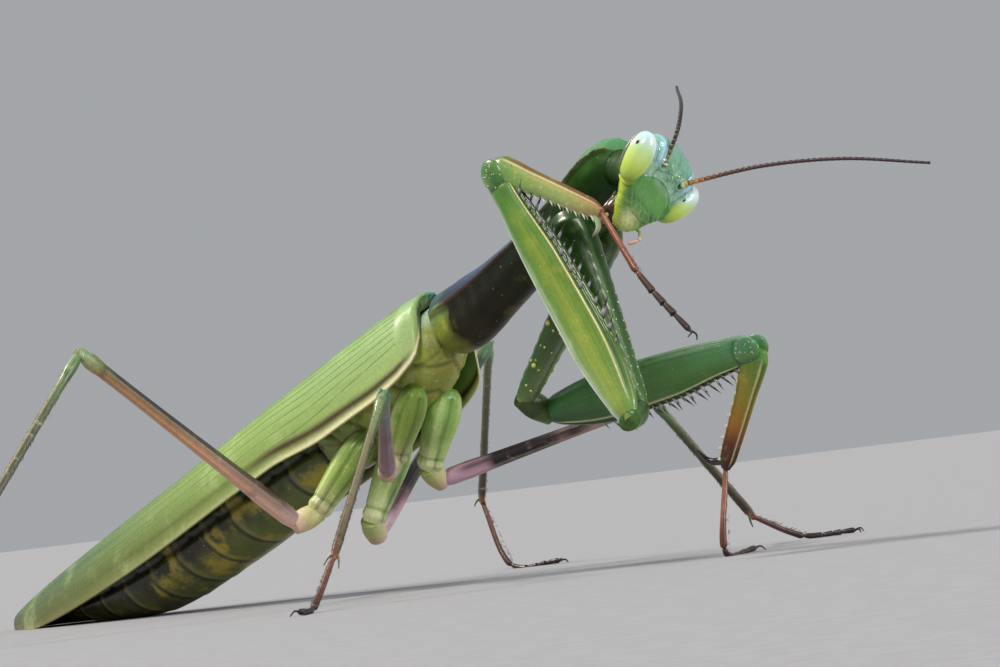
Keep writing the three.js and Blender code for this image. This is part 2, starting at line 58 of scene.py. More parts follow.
VIEW_RIGHT = (0.70484357, -0.69882866, -0.1217951)
VIEW_UP = (0.06168091, -0.11066837, 0.99194152)
VIEW_FORWARD = (0.70667603, 0.70667603, 0.0348995)
CAMERA_PLACE = (-156.807, -173.404, 5.217)
FOCAL_LENGTH = 154.44
SENSOR_WIDTH = 36


def shown(name, data):
    """A new object in the scene."""
    made = bpy.data.objects.new(name, data)
    bpy.context.scene.collection.objects.link(made)
    return made


lens = bpy.data.cameras.new("camera")
lens.lens = FOCAL_LENGTH
lens.sensor_width = SENSOR_WIDTH
lens.clip_start = 0.01
lens.clip_end = 10
camera = shown("camera", lens)
axes = Matrix((VIEW_RIGHT, VIEW_UP, [-v for v in VIEW_FORWARD])).transposed().to_4x4()
camera.matrix_world = Matrix.Translation(Vector(CAMERA_PLACE) * MM) @ axes
bpy.context.scene.camera = camera
print("camera height in mm:", CAMERA_PLACE[2])

# %% [markdown]
# ## One way to add a node
# Materials, the world and the geometry trees all grow through `node`: it adds a node, gives
# its settings, and fills its inputs with values or with links. `result` does the same and
# hands back one output, and the few kinds of node that come up again and again get a short
# name of their own. Colours are written as sRGB hex values, because that is how a swatch is
# read, and turned to the linear values that a renderer adds up.

# %% Define node and colour helpers
def linear(hex_colour):
    values = [int(hex_colour[i:i + 2], 16) / 255 for i in (1, 3, 5)]
    return tuple(v / 12.92 if v <= 0.04045 else ((v + 0.055) / 1.055) ** 2.4 for v in values) + (1.0,)


def node(tree, kind, inputs=None, stops=None, **settings):
    added = tree.nodes.new(kind)
    for key, value in settings.items():
        setattr(added, key, value)
    if stops:
        ramp = added.color_ramp
        while len(ramp.elements) < len(stops):
            ramp.elements.new(0.5)
        for element, (place, colour) in zip(ramp.elements, stops):
            element.position = place
            element.color = linear(colour)
    for key, value in (inputs or {}).items():
        socket = added.inputs[key]
        if isinstance(value, bpy.types.NodeSocket):
            tree.links.new(value, socket)
        else:
            socket.default_value = linear(value) if isinstance(value, str) and value[0] == "#" else value
    return added


def result(tree, kind, inputs=None, output=0, **settings):
    return node(tree, kind, inputs, **settings).outputs[output]


def reckoned(tree, operation, *values):
    return result(tree, "ShaderNodeMath", dict(enumerate(values)), operation=operation)


def ranged(tree, value, low, high, to_low=0.0, to_high=1.0, kind="LINEAR"):
    ends = {"From Min": low, "From Max": high, "To Min": to_low, "To Max": to_high}
    return result(tree, "ShaderNodeMapRange", {"Value": value, **ends}, interpolation_type=kind)


def noise(tree, place, scale, detail):
    return result(tree, "ShaderNodeTexNoise", {"Vector": place, "Scale": scale, "Detail": detail}, "Fac")


def laid(tree, share, under, over):
    """One colour laid over another by a share."""
    return result(tree, "ShaderNodeMix", {0: share, 6: under, 7: over}, 2, data_type="RGBA")


def graded(tree, value, stops):
    return result(tree, "ShaderNodeValToRGB", {"Fac": value}, "Color", stops=stops)


def kept_on_skin(tree, name):
    """The three numbers that a mesh keeps under a name."""
    return result(tree, "ShaderNodeAttribute", None, "Vector", attribute_name=name)


def split(tree, vector):
    return node(tree, "ShaderNodeSeparateXYZ", {"Vector": vector}).outputs


def new_material(name):
    material = bpy.data.materials.new(name)
    material.use_nodes = True
    material.node_tree.nodes.clear()
    return material, material.node_tree


def close_material(tree, **inputs):
    """The surface shader and the output; an input's name is written with underscores."""
    named = {key.replace("_", " "): value for key, value in inputs.items()}
    surface = node(tree, "ShaderNodeBsdfPrincipled", named)
    node(tree, "ShaderNodeOutputMaterial", {"Surface": surface.outputs["BSDF"]})

# %% [markdown]
# ## Studio
# The floor is a wide disc of pale matt board, so large that its edge melts into a pale
# world. One broad light stands behind and above on the left and draws the silvery edge
# along the back and limbs, a second one above the camera shapes the near side, and a third
# low on the right fills the shadows. A narrow one, low in front of the face, puts glints on
# it. All are far off, so that the board is lit evenly out to its edge.

# %% Lay the floor and light the studio
FLOOR_RADIUS = 3.0
FLOOR_SIDES = 96
FIBRE_SCALE = 900.0
turns = np.linspace(0, 2 * np.pi, FLOOR_SIDES + 1)[:-1]
floor_mesh = bpy.data.meshes.new("floor")
floor_mesh.from_pydata([(FLOOR_RADIUS * math.cos(a), FLOOR_RADIUS * math.sin(a), 0) for a in turns],
                       [], [tuple(range(FLOOR_SIDES))])
floor = shown("floor", floor_mesh)
board, tree = new_material("floor_board_matt")
place = result(tree, "ShaderNodeTexCoord", None, "Object")
tone = graded(tree, noise(tree, place, FIBRE_SCALE, 3.0), [(0.3, "#8b8c91"), (0.7, "#939499")])
close_material(tree, Base_Color=tone, Roughness=0.7)
floor_mesh.materials.append(board)

world = bpy.data.worlds.new("studio_air")
world.use_nodes = True
world.node_tree.nodes.clear()
air = result(world.node_tree, "ShaderNodeBackground", {"Color": "#dfe2e6", "Strength": 0.5})
node(world.node_tree, "ShaderNodeOutputWorld", {"Surface": air})
bpy.context.scene.world = world


def soft_light(name, place, width, strength, colour):
    """A far lamp as wide as an angle in degrees, seen from the middle of the floor."""
    lamp = bpy.data.lights.new(name, "SUN")
    lamp.angle = math.radians(width)
    lamp.energy = strength
    lamp.color = linear(colour)[:3]
    holder = shown(name, lamp)
    holder.location = Vector(place)
    holder.rotation_euler = (-holder.location).to_track_quat("-Z", "Y").to_euler()


soft_light("rim_light", (-0.25, 0.45, 0.62), 17, 3.3, "#fff6e8")
soft_light("key_light", (-0.50, -0.30, 0.60), 18, 1.8, "#fffaf2")
soft_light("fill_light", (0.25, -0.65, 0.25), 38, 1.2, "#eef3ff")
soft_light("glint_light", (0.38, -0.90, 0.13), 7, 0.7, "#f4f8ff")
bpy.context.scene.view_settings.view_transform = "Standard"
bpy.context.scene.view_settings.look = "None"

# %% [markdown]
# ## Directions
# A limb is set by its length, its heading on the floor plan and its rise, as a taxidermist
# would bend a wire. A body frame is three unit vectors: forward, left and up.

# %% Define directions and frames
def unit(v):
    return np.asarray(v, float) / np.linalg.norm(v)


def direction(heading, rise):
    h, r = math.radians(heading), math.radians(rise)
    return np.array([math.cos(r) * math.cos(h), math.cos(r) * math.sin(h), math.sin(r)])


def turned(v, axis, degrees):
    a = math.radians(degrees)
    return v * math.cos(a) + np.cross(axis, v) * math.sin(a) + axis * np.dot(axis, v) * (1 - math.cos(a))


def body_frame(heading, rise, roll):
    forward = direction(heading, rise)
    left = turned(unit(np.cross((0, 0, 1), forward)), forward, roll)
    return np.array([forward, left, np.cross(forward, left)])


def placed(origin, frame_axes, offset):
    return origin + np.asarray(offset, float) @ frame_axes


WAIST = np.array([7.4, -5.13, 14.7])
FORE = body_frame(-97, 20.8, -9)
HIND = body_frame(-90, 19.8, -10)
HEAD = body_frame(-91, -32, -35.5)
FACE = WAIST + (-2.8, -19.1, 4.9)


def fore_place(*offset):
    return placed(WAIST, FORE, offset)


def hind_place(*offset):
    return placed(WAIST, HIND, offset)


def head_place(*offset):
    return placed(FACE, HEAD, offset)


PRONOTUM_LENGTH = 18.0
COLLAR = fore_place(PRONOTUM_LENGTH, 0, 0)
print("waist, collar and face in mm:", WAIST, COLLAR.round(1), FACE.round(1))

# %% [markdown]
# ## Shells
# Almost every piece of an insect is a closed shell round a path: a limb, a plate, a
# segment. `flow` runs a smooth curve through a few measured stations, `shell` skins rings
# of points and closes both ends, and every point keeps a chart of where it lies: how far
# along (0 to 1), how far to the side (-1 to 1) and how high on the section (-1 belly to 1
# back). The finishes read that chart, so that colour follows the limb and not the room.
# Three more numbers, the marks, say where a ridge, a seam, painted shade or a painted highlight lies.

# %% Define flow and shell
def flow(stations, t, column=1):
    """Smooth monotone curve through (t, value, ...) stations."""
    x = np.array([s[0] for s in stations], float)
    y = np.array([s[column] if len(s) > column else 0.0 for s in stations], float)
    step = np.diff(x)
    slope = np.diff(y) / step
    lean = np.zeros(len(x))
    for i in range(1, len(x) - 1):
        if slope[i - 1] * slope[i] > 0:
            a, b = 2 * step[i] + step[i - 1], step[i] + 2 * step[i - 1]
            lean[i] = (a + b) / (a / slope[i - 1] + b / slope[i])
    lean[0], lean[-1] = slope[0], slope[-1]
    t = np.clip(np.asarray(t, float), x[0], x[-1])
    i = np.clip(np.searchsorted(x, t, side="right") - 1, 0, len(step) - 1)
    h = step[i]
    s = (t - x[i]) / h
    return ((1 + 2 * s) * (1 - s) ** 2 * y[i] + s * (1 - s) ** 2 * h * lean[i]
            + s * s * (3 - 2 * s) * y[i + 1] + s * s * (s - 1) * h * lean[i + 1])


def bump(x, centre, width):
    return np.exp(-((np.asarray(x) - centre) / width) ** 2)


def step_up(x, start, end):
    s = np.clip((np.asarray(x, float) - start) / (end - start), 0, 1)
    return s * s * (3 - 2 * s)


def shell(rings, chart, marks=None):
    """Rings of points (n, m, 3) to one closed part: points, faces, chart, marks, UV."""
    n, m, _ = rings.shape
    marks = np.zeros_like(rings) if marks is None else marks
    ends = [rings[0].mean(0), rings[-1].mean(0)]
    points = np.vstack([rings.reshape(-1, 3), ends])
    chart = np.vstack([chart.reshape(-1, 3), chart[0].mean(0), chart[-1].mean(0)])
    marks = np.vstack([marks.reshape(-1, 3), marks[0].mean(0), marks[-1].mean(0)])
    i, j = np.meshgrid(np.arange(n - 1), np.arange(m), indexing="ij")
    k = (j + 1) % m
    quads = np.stack([i * m + j, i * m + k, (i + 1) * m + k, (i + 1) * m + j], -1).reshape(-1, 4)
    uv = np.stack([j, i, j + 1, i, j + 1, i + 1, j, i + 1], -1).reshape(-1, 4, 2) / [m, n - 1]
    a = np.arange(m)
    b = (a + 1) % m
    low = np.stack([b, a, np.full(m, n * m)], -1)
    high = np.stack([(n - 1) * m + a, (n - 1) * m + b, np.full(m, n * m + 1)], -1)
    low_uv = np.stack([(a + 1) / m, 0 * a, a / m, 0 * a, (a + 0.5) / m, 0 * a], -1).reshape(-1, 3, 2)
    high_uv = np.stack([a / m, 1 + 0 * a, (a + 1) / m, 1 + 0 * a, (a + 0.5) / m, 1 + 0 * a],
                       -1).reshape(-1, 3, 2)
    around = rings - rings.mean((0, 1))
    volume = np.einsum("ijk,ijk->", around[:-1], np.cross(np.roll(around, -1, 1)[:-1], around[1:]))
    faces = [quads, low, high]
    uvs = [uv, low_uv, high_uv]
    if volume < 0:
        faces = [f[:, ::-1] for f in faces]
        uvs = [u[:, ::-1] for u in uvs]
    return points, faces, chart, marks, uvs

# %% [markdown]
# A piece is one mesh made of such parts. It is smoothed, dressed in one material, rides on
# the body and names the solid that it stands for.

# %% Define how a piece is made
REST_LEVEL = 0.02


def new_mesh(name, points, edges=(), faces=(), **layers):
    """A mesh from points in mm; layers are per-point numbers or vectors that it keeps."""
    mesh = bpy.data.meshes.new(name)
    mesh.from_pydata((np.asarray(points) * MM).tolist(), list(edges), list(faces))
    for label, values in layers.items():
        values = np.asarray(values, np.float32)
        kind, field = ("FLOAT_VECTOR", "vector") if values.ndim == 2 else ("FLOAT", "value")
        mesh.attributes.new(label, kind, "POINT").data.foreach_set(field, values.ravel())
    return mesh


def finish_piece(made, material, node_names=()):
    """Dresses a piece, smooths it and lets it ride on the body."""
    made.data.polygons.foreach_set("use_smooth", [True] * len(made.data.polygons))
    if material:
        made.data.materials.clear()
        made.data.materials.append(material)
    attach(made, "root")
    for name in node_names:
        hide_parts(name)
    print(f"{made.name}: {len(made.data.polygons)} faces")


def piece(name, parts, material, node_names=()):
    """Joins parts to one smooth piece, of which nothing sinks into the floor."""
    faces, coords, start = [], [], 0
    for points, blocks, _, _, uvs in parts:
        for block, uv in zip(blocks, uvs):
            faces += (block + start).tolist()
            coords.append(uv.reshape(-1, 2))
        start += len(points)
    points, chart, marks = (np.vstack([part[k] for part in parts]) for k in (0, 2, 3))
    points[:, 2] = np.maximum(points[:, 2], REST_LEVEL)
    mesh = new_mesh(name, points, (), faces, chart=chart, marks=marks)
    layer = mesh.uv_layers.new(name="chart_map")
    layer.data.foreach_set("uv", np.vstack(coords).astype(np.float32).ravel())
    mesh.update()
    finish_piece(shown(name, mesh), material, node_names)

# %% [markdown]
# A limb is a shell whose section is an oval. The `up` direction lies in the plane where the
# limb folds, and `side` is turned to the animal's outside, so that the chart means the same
# on every leg. A carve function may push the skin in or out, in millimetres, which is how
# ridges, grooves and knees are worked into the plain tube.

# %% Define limbs and ovals
def tube_frame(path, up):
    tangent = np.gradient(path, axis=0)
    tangent /= np.linalg.norm(tangent, axis=1)[:, None]
    side = np.cross(tangent, up)
    side /= np.linalg.norm(side, axis=1)[:, None]
    return tangent, side, np.cross(side, tangent)


def limb(path, up, stations, sides=40, rings=90, carve=None, outside=None, square=2.0, ends=0.6):
    """stations are (t, half width, half height, lift); path is a function of t or two ends."""
    t = np.linspace(0, 1, rings)
    t = (1 - ends) * t + ends * (0.5 - 0.5 * np.cos(np.pi * t))
    middle = path(t) if callable(path) else path[0] + t[:, None] * (np.asarray(path[1]) - path[0])
    tangent, side, rise = tube_frame(middle, up)
    turn = 1.0 if outside is None or np.dot(side[len(side) // 2], outside) > 0 else -1.0
    a = np.linspace(0, 2 * np.pi, sides, endpoint=False)
    sin, cos = np.sin(a), np.cos(a)
    x = np.sign(sin) * np.abs(sin) ** (2 / square)
    y = np.sign(cos) * np.abs(cos) ** (2 / square)
    width, height, lift = (flow(stations, t, c) for c in (1, 2, 3))
    chart = np.stack(np.broadcast_arrays(t[:, None], turn * sin[None], cos[None]), -1)
    marks = np.zeros_like(chart)
    rings_at = (middle[:, None] + side[:, None] * (width[:, None] * x)[..., None]
                + rise[:, None] * (lift[:, None] + height[:, None] * y)[..., None])
    if carve:
        normal = (side[:, None] * (height[:, None] * x)[..., None]
                  + rise[:, None] * (width[:, None] * y)[..., None])
        normal /= np.linalg.norm(normal, axis=2)[..., None] + 1e-9
        push, marks = carve(chart[..., 0], np.degrees(np.arctan2(chart[..., 1], chart[..., 2])))
        rings_at = rings_at + normal * push[..., None]
    return shell(rings_at, chart, marks)


def oval(centre, axes_at, radii, sides=20, rings=13, along=0.5):
    """A closed ellipsoid; radii belong to the three axes of the frame."""
    b = np.linspace(0.02, np.pi - 0.02, rings)
    a = np.linspace(0, 2 * np.pi, sides, endpoint=False)
    ball = np.stack(np.broadcast_arrays(np.sin(b)[:, None] * np.cos(a), np.sin(b)[:, None] * np.sin(a),
                                        np.cos(b)[:, None] + 0 * a), -1)
    chart = np.stack([np.full(ball.shape[:2], along), ball[..., 1], ball[..., 2]], -1)
    return shell(centre + (ball * radii) @ np.asarray(axes_at), chart)


def three(*masks):
    """Up to three masks as one array of marks."""
    blank = np.zeros_like(masks[0])
    return np.stack(list(masks) + [blank] * (3 - len(masks)), -1)

# %% [markdown]
# ## Cuticle
# An insect is dressed in cuticle: chitin over living colour, hard and faintly waxy, with a
# gloss like varnish (IOR about 1.55). One recipe makes every piece of it. Bands of colour
# run along the limb and change from belly to back, on some pieces with a painted sheen on
# the back; clouds of a second pigment break them up; freckles are fat cells under the skin;
# the marks paint ridges and seams, and on some pieces painted shade in grooves and folds
# and a painted highlight or sheen. A grain of about 0.1 mm gives the pores, drawn a little
# coarser than life so that it shows, and the same grain lifts the skin in the bump. Fine
# streaks follow the fibres that run the length of a limb.
#
# Bands are written as a small table of text. Each line starts with a height on the section,
# from -1 at the belly to 1 at the back, and lists shares of the length with their colours.

# %% Define the cuticle recipe
CUTICLE_IOR = 1.55
DRIFT_SCALE = 700.0
CLOUD_STEP = 1.7  # moves each layer of clouds to its own place in the noise
FIBRE_STRETCH = (2.5, 13.0, 17.0)
NOISE_LOW, NOISE_HIGH = 0.3, 0.7  # where nearly all of a noise lies
SMOOTH = "SMOOTHSTEP"


def read_bands(text):
    bands = []
    for line in text.strip().splitlines():
        level, stops = line.split(":")
        stops = [stop.split() for stop in stops.split(",")]
        bands.append((float(level), [(float(share), colour) for share, colour in stops]))
    return bands


def cuticle(name, bands, clouds=(), freckles=(), marks=(), grain=0.16, lift=0.008, strength=0.35,
            roughness=0.34, coat=0.25, glow=0.08, wander=0.12, streaks=0.06, film=0.12, shine=0.3):
    """clouds: (colour, size, from, to, amount); freckles: (colour, spacing, radius, amount);
    sizes in mm."""
    material, tree = new_material(name)
    place = result(tree, "ShaderNodeTexCoord", None, "Object")
    chart = kept_on_skin(tree, "chart")
    share, _, level = split(tree, chart)
    drift = noise(tree, place, DRIFT_SCALE, 4.0)
    shift = ranged(tree, drift, NOISE_LOW, NOISE_HIGH, -wander, wander)
    along = reckoned(tree, "MULTIPLY_ADD", shift, 0.25, share)
    height = reckoned(tree, "ADD", level, shift)
    colour, below = None, None
    for start, stops in read_bands(bands):
        band = graded(tree, along, stops)
        colour = laid(tree, ranged(tree, height, below, start, kind=SMOOTH), colour, band) if colour else band
        below = start
    for number, (pigment, size, start, end, amount) in enumerate(clouds):
        cloud = result(tree, "ShaderNodeTexNoise", {
            "Vector": place, "W": CLOUD_STEP * number, "Scale": 1000 / size, "Detail": 5.0,
            "Roughness": 0.6}, "Fac", noise_dimensions="4D")
        colour = laid(tree, ranged(tree, cloud, start, end, 0.0, amount, SMOOTH), colour, pigment)
    for pigment, spacing, radius, amount in freckles:
        cells = result(tree, "ShaderNodeTexVoronoi", {"Vector": place, "Scale": 1000 / spacing}, "Distance")
        colour = laid(tree, ranged(tree, cells, radius, radius * 0.6, 0.0, amount, SMOOTH), colour, pigment)
    for layer, pigments in (("marks", marks[:3]), ("more_marks", marks[3:])):
        if pigments:
            masks = split(tree, kept_on_skin(tree, layer))
            for mask, pigment in zip(masks, pigments):
                colour = laid(tree, mask, colour, pigment) if pigment else colour
    pores = noise(tree, place, 1000 / grain, 3.0)
    shade = ranged(tree, pores, NOISE_LOW, NOISE_HIGH, 0.9, 1.1)
    drawn = result(tree, "ShaderNodeVectorMath", {0: chart, 1: FIBRE_STRETCH}, operation="MULTIPLY")
    fibres = noise(tree, drawn, 1.0, 3.0)
    streak = ranged(tree, fibres, NOISE_LOW, NOISE_HIGH, 1 - streaks, 1 + streaks)
    value = reckoned(tree, "MULTIPLY", shade, streak)
    toned = result(tree, "ShaderNodeHueSaturation", {"Color": colour, "Value": value})
    polish = ranged(tree, drift, NOISE_LOW, NOISE_HIGH, roughness - 0.06, roughness + 0.08)
    swell = reckoned(tree, "ADD", pores, drift)
    skin = result(tree, "ShaderNodeBump", {"Height": swell, "Strength": strength, "Distance": lift * MM})
    close_material(tree, Base_Color=toned, Roughness=polish, IOR=CUTICLE_IOR, Normal=skin,
                   Specular_IOR_Level=shine, Coat_Weight=coat, Coat_Roughness=film, Subsurface_Weight=glow,
                   Subsurface_Scale=0.4 * MM, Subsurface_Radius=(0.6, 1.0, 0.3))
    return material

# %% [markdown]
# ## Prothorax
# The long "neck" of a mantis is its first thorax ring. Its roof, the pronotum, is one
# saddle-shaped plate: narrow behind, swollen over the roots of the grasping legs and
# crossed there by a groove, with a fine keel along the middle and a raw brown margin that
# overhangs the softer flank. It is lofted through stations, then carved: the margin is
# pushed out as a lip, the flank is drawn in below it, and the groove and keel are worked in.
# The roof is teal green with a painted steel-blue sheen of the sky towards the waist; the
# flank goes from deep green to a dark olive with ochre clouds, with painted shade under the
# margin and in the groove.

# %% Make the prothorax
# The steel-blue roof colours of the bands at 0.3 and 0.9 and the third mark are a painted sheen, a reflection
# of the sky.
pronotum_cuticle = cuticle("cuticle_pronotum_waxed_painted_sheen", """
    -1: 0 #7f8436, 0.08 #76762c, 0.14 #2a260c, 0.3 #241e08, 0.6 #1a300a, 1 #244410
    -0.35: 0 #8f9a40, 0.085 #838e36, 0.14 #1c1a08, 0.3 #14140a, 0.5 #121a06, 0.75 #143206, 1 #1c420a
    0.16: 0 #8aa060, 0.08 #6f8a4c, 0.14 #141a0a, 0.4 #121a08, 0.7 #1c3e0e, 1 #36641e
    0.3: 0 #4a7064, 0.1 #182428, 0.25 #161f34, 0.5 #274a52, 0.8 #467a50, 1 #568456
    0.9: 0 #406068, 0.15 #1c2838, 0.4 #1e3e48, 0.6 #32705a, 1 #568c60""",
    clouds=[("#6f6424", 1.9, 0.57, 0.67, 0.4), ("#12110a", 2.6, 0.53, 0.66, 0.4)],
    # The second mark colour is painted shade under the margin and in the groove.
    freckles=[("#8f9a5c", 0.7, 0.12, 0.3)], marks=("#4a2c1c", "#1c150d", "#435a86"), roughness=0.42,
    coat=0.06, shine=0.16)

PRONOTUM_STATIONS = [
    (0, 1.15, 1.4, -0.55), (0.05, 1.7, 1.95, -0.78), (0.15, 1.65, 1.9, -0.97), (0.3, 1.62, 1.53, -0.92),
    (0.55, 1.62, 1.2, -0.74), (0.72, 2.15, 1.42, -0.85), (0.82, 2.2, 1.45, -0.55), (0.91, 1.95, 1.45, 0),
    (0.97, 1.6, 1.25, 0.3), (1, 1.15, 0.9, 0.35),
]


def carve_pronotum(t, angle):
    a = np.abs(angle)
    edge = 75
    lip = bump(a, edge, 6) * step_up(t, 0.01, 0.05)
    keel = bump(a, 0, 7) * 0.07
    groove = bump(t, 0.74, 0.012) * step_up(a, 64, 48) * 0.10
    hollow = bump(a, edge + 24, 18) * 0.14
    waist = bump(t, 0.05, 0.03) * 0.04
    folds = 0.03 * bump(a, 100, 30) * np.sin(t * 95) * step_up(t, 0.5, 0.2)
    collar = bump(t, 0.955, 0.012) * 0.09 * step_up(a, 100, 70)
    teeth = 0.03 * bump(a, edge, 5) * np.maximum(np.sin(t * 2 * np.pi * 34), 0) ** 2 * step_up(t, 0.3, 0.5)
    push = 0.12 * lip + keel - groove - hollow - waist + folds - collar + teeth
    rim = bump(a, edge + 2, 2.4) * step_up(t, 0.02, 0.12)
    # The second mark is painted shade: the hollow under the overhanging margin and the groove are darkened.
    seam_and_shade = bump(a, edge + 9, 5) * 0.6 + groove * 3
    # The third mark is a painted sheen: a steel-blue reflection on the roof, ahead of the waist.
    painted_sheen = bump(a, 48, 14) * bump(t, 0.3, 0.16) * 0.55
    return push, three(rim, np.clip(seam_and_shade, 0, 0.9), painted_sheen)


prothorax = limb((WAIST, COLLAR), FORE[2], PRONOTUM_STATIONS, sides=144, rings=230, carve=carve_pronotum)
piece("prothorax_shell", [prothorax], pronotum_cuticle, ["prothorax"])

# %% [markdown]
# ## Pterothorax
# The second and third thorax rings are a deep box of muscle that carries wings and walking
# legs. Its flank is not smooth: plates meet in slanting grooves, each plate is pillowed,
# and pale yellow-green shines through. The plates are bumps set in rows over the lofted
# keel, and the grooves are their common edges, so colour and carving agree: a painted
# highlight lies on each plate's crest and on the top near the front, and painted shade lies
# in the grooves.

# %% Make the pterothorax
# The mint band at the top (0.9) and the first mark are a painted highlight; the second mark is painted shade
# in the grooves.
pleura_cuticle = cuticle("cuticle_pleura_soft", """
    -1: 0 #8b8a3a, 0.4 #7f8f3e, 1 #6a7433
    -0.4: 0 #8a8c34, 0.07 #b2be48, 0.35 #b4c250, 0.7 #8fa43e, 1 #6f7a30
    0.3: 0 #a0ac58, 0.06 #b8c66a, 0.5 #a8bb5c, 1 #86984a
    0.9: 0 #c4e0bc, 0.5 #98b888, 1 #7a9562""",
    clouds=[("#b8963a", 1.1, 0.57, 0.68, 0.5), ("#6a6a26", 1.7, 0.56, 0.7, 0.5),
            ("#d3d99a", 0.8, 0.6, 0.72, 0.5)],
    freckles=[("#c9cf8c", 0.55, 0.2, 0.4)], marks=("#c4dcc0", "#3a3a16", "#b98f3a"), roughness=0.42,
    glow=0.12, lift=0.015)

PTEROTHORAX_STATIONS = [
    (0, 1.5, 1.7, -0.9), (0.1, 1.9, 2.0, -1.25), (0.35, 2.15, 2.45, -1.75), (0.75, 2.35, 2.5, -2.2),
    (0.95, 2.3, 2.2, -2.5), (1, 1.9, 1.8, -2.7),
]


def carve_pleura(t, angle):
    a = np.abs(angle)
    slant = t + 0.0022 * (a - 90)
    seams = sum(bump(slant, s, 0.016) for s in (0.2, 0.37, 0.56, 0.74, 0.9)) * step_up(a, 40, 60)
    seams = seams + bump(a, 128 + 14 * np.sin(slant * 17), 4.5) * 0.7 + bump(t, 0.42, 0.02) * 0.8
    pillows = np.maximum(np.sin((slant - 0.02) * 2 * np.pi / 0.18), 0) * bump(a, 96, 30)
    knobs = 0.5 + 0.5 * np.sin(a * 0.21 + 9 * np.sin(slant * 21)) * np.sin(slant * 64)
    push = 0.08 * pillows - 0.09 * np.clip(seams, 0, 1) + 0.025 * knobs * bump(a, 100, 35)
    # The first mark is a painted highlight on each plate's crest and on the top near the front; the second is
    # painted shade in the grooves.
    painted_top_highlight = step_up(t, 0.3, 0.05) * step_up(a, 95, 60)
    return push, three(np.clip(pillows * 0.2 + painted_top_highlight * 0.8, 0, 1), np.clip(seams * 0.45, 0, 0.7),
                       bump(slant, 0.56, 0.05) * 0.7)


THORAX_LENGTH = 10.4
THORAX_GAP = 0.16
thorax_ends = [hind_place(-THORAX_GAP, 0, 0), hind_place(-THORAX_LENGTH, 0, 0)]
pterothorax = limb(thorax_ends, HIND[2], PTEROTHORAX_STATIONS, sides=120, rings=150, carve=carve_pleura)
piece("pterothorax_shell", [pterothorax], pleura_cuticle, ["pterothorax"])

# %% [markdown]
# ## Abdomen
# Ten rings overlap like the hoops of a lobster pot: each back plate starts narrow under the
# one in front and ends in a slightly flared edge, and a soft fold with breathing holes
# runs along the flank. The stations give the spindle, and a saw-tooth over the length
# gives the rings. It is dark olive with ochre clouds, almost black at the joints of the
# rings and the breathing holes, and darkened with painted shade in the flank fold.

# %% Mix the abdomen finish and set its stations
abdomen_cuticle = cuticle("cuticle_abdomen_satin", """
    -1: 0 #6f7a30, 0.4 #5a6226, 0.8 #4b4a20, 1 #5a5426
    -0.45: 0 #4c5620, 0.25 #262e0a, 0.65 #181b06, 1 #24210c
    0.1: 0 #4c5820, 0.25 #222c0a, 0.7 #1a1e08, 1 #24200c
    0.8: 0 #5f7a3a, 0.5 #4d6a34, 1 #4a5a2e""",
    clouds=[("#a8962a", 3.6, 0.53, 0.63, 0.85), ("#b09a4c", 1.2, 0.62, 0.72, 0.4),
            ("#14170b", 1.9, 0.55, 0.7, 0.5)],
    freckles=[("#a8a25c", 0.6, 0.14, 0.4)], marks=("#a39a58", "#12130a", "#2e3a18"), roughness=0.45,
    lift=0.012)

ABDOMEN_RINGS = 10
ABDOMEN_STATIONS = [
    (0, 1.85, 1.8), (0.06, 2.3, 2.1), (0.3, 2.68, 2.33), (0.62, 2.73, 2.23), (0.85, 2.1, 1.5),
    (0.96, 1.15, 0.75), (1, 0.55, 0.35),
]

# %% Carve the abdomen
def smooth_path(knots):
    """Centripetal Catmull-Rom curve through the knots, as a function of t from 0 to 1."""
    knots = np.asarray(knots, float)
    knots = np.vstack([2 * knots[0] - knots[1], knots, 2 * knots[-1] - knots[-2]])

    def path(t):
        t = np.asarray(t, float)
        spans = len(knots) - 3
        k = np.minimum((t * spans).astype(int), spans - 1)
        s = (t * spans - k)[:, None]
        p = [knots[k + i] for i in range(4)]
        gap = [np.maximum(np.linalg.norm(p[i + 1] - p[i], axis=1, keepdims=True), 1e-6) ** 0.5
               for i in range(3)]
        one = (p[1] - p[0]) / gap[0] - (p[2] - p[0]) / (gap[0] + gap[1]) + (p[2] - p[1]) / gap[1]
        two = (p[2] - p[1]) / gap[1] - (p[3] - p[1]) / (gap[1] + gap[2]) + (p[3] - p[2]) / gap[2]
        one, two = one * gap[1], two * gap[1]
        return ((2 * s ** 3 - 3 * s ** 2 + 1) * p[1] + (s ** 3 - 2 * s ** 2 + s) * one
                + (3 * s ** 2 - 2 * s ** 3) * p[2] + (s ** 3 - s ** 2) * two)
    return path


def carve_abdomen(t, angle):
    a = np.abs(angle)
    ring = (t * ABDOMEN_RINGS) % 1.0
    flare = ring ** 3 - 1.1 * bump(ring, 1.0, 0.06) - 0.6 * bump(ring, 0.0, 0.05)
    inside = step_up(t, 0.99, 0.9)
    fold = bump(a, 104, 7)
    hole = bump(ring, 0.4, 0.07) * bump(a, 98, 5)
    push = (0.065 * flare - 0.02) * inside - 0.16 * fold * inside - 0.12 * hole * inside
    floor_side = bump(a, 180, 22) * 0.06
    # The second mark darkens the joints between rings and the breathing holes, and lays painted shade in the
    # flank fold.
    seam_and_shade = np.clip(bump(ring, 0.02, 0.05) + bump(ring, 1.0, 0.05) + fold * 0.7 + hole, 0, 0.85)
    edge = bump(ring, 0.88, 0.07) * 0.3
    return push - floor_side, three(edge, seam_and_shade, step_up(a, 70, 30) * 0.3)


CERCUS = [(0, 0.2, 0.2), (0.3, 0.26, 0.26), (1, 0.06, 0.06)]


def carve_cercus(t, angle):
    return 0.03 * np.sin(t * 50), three(t * 0, t * 0 + 0.3)

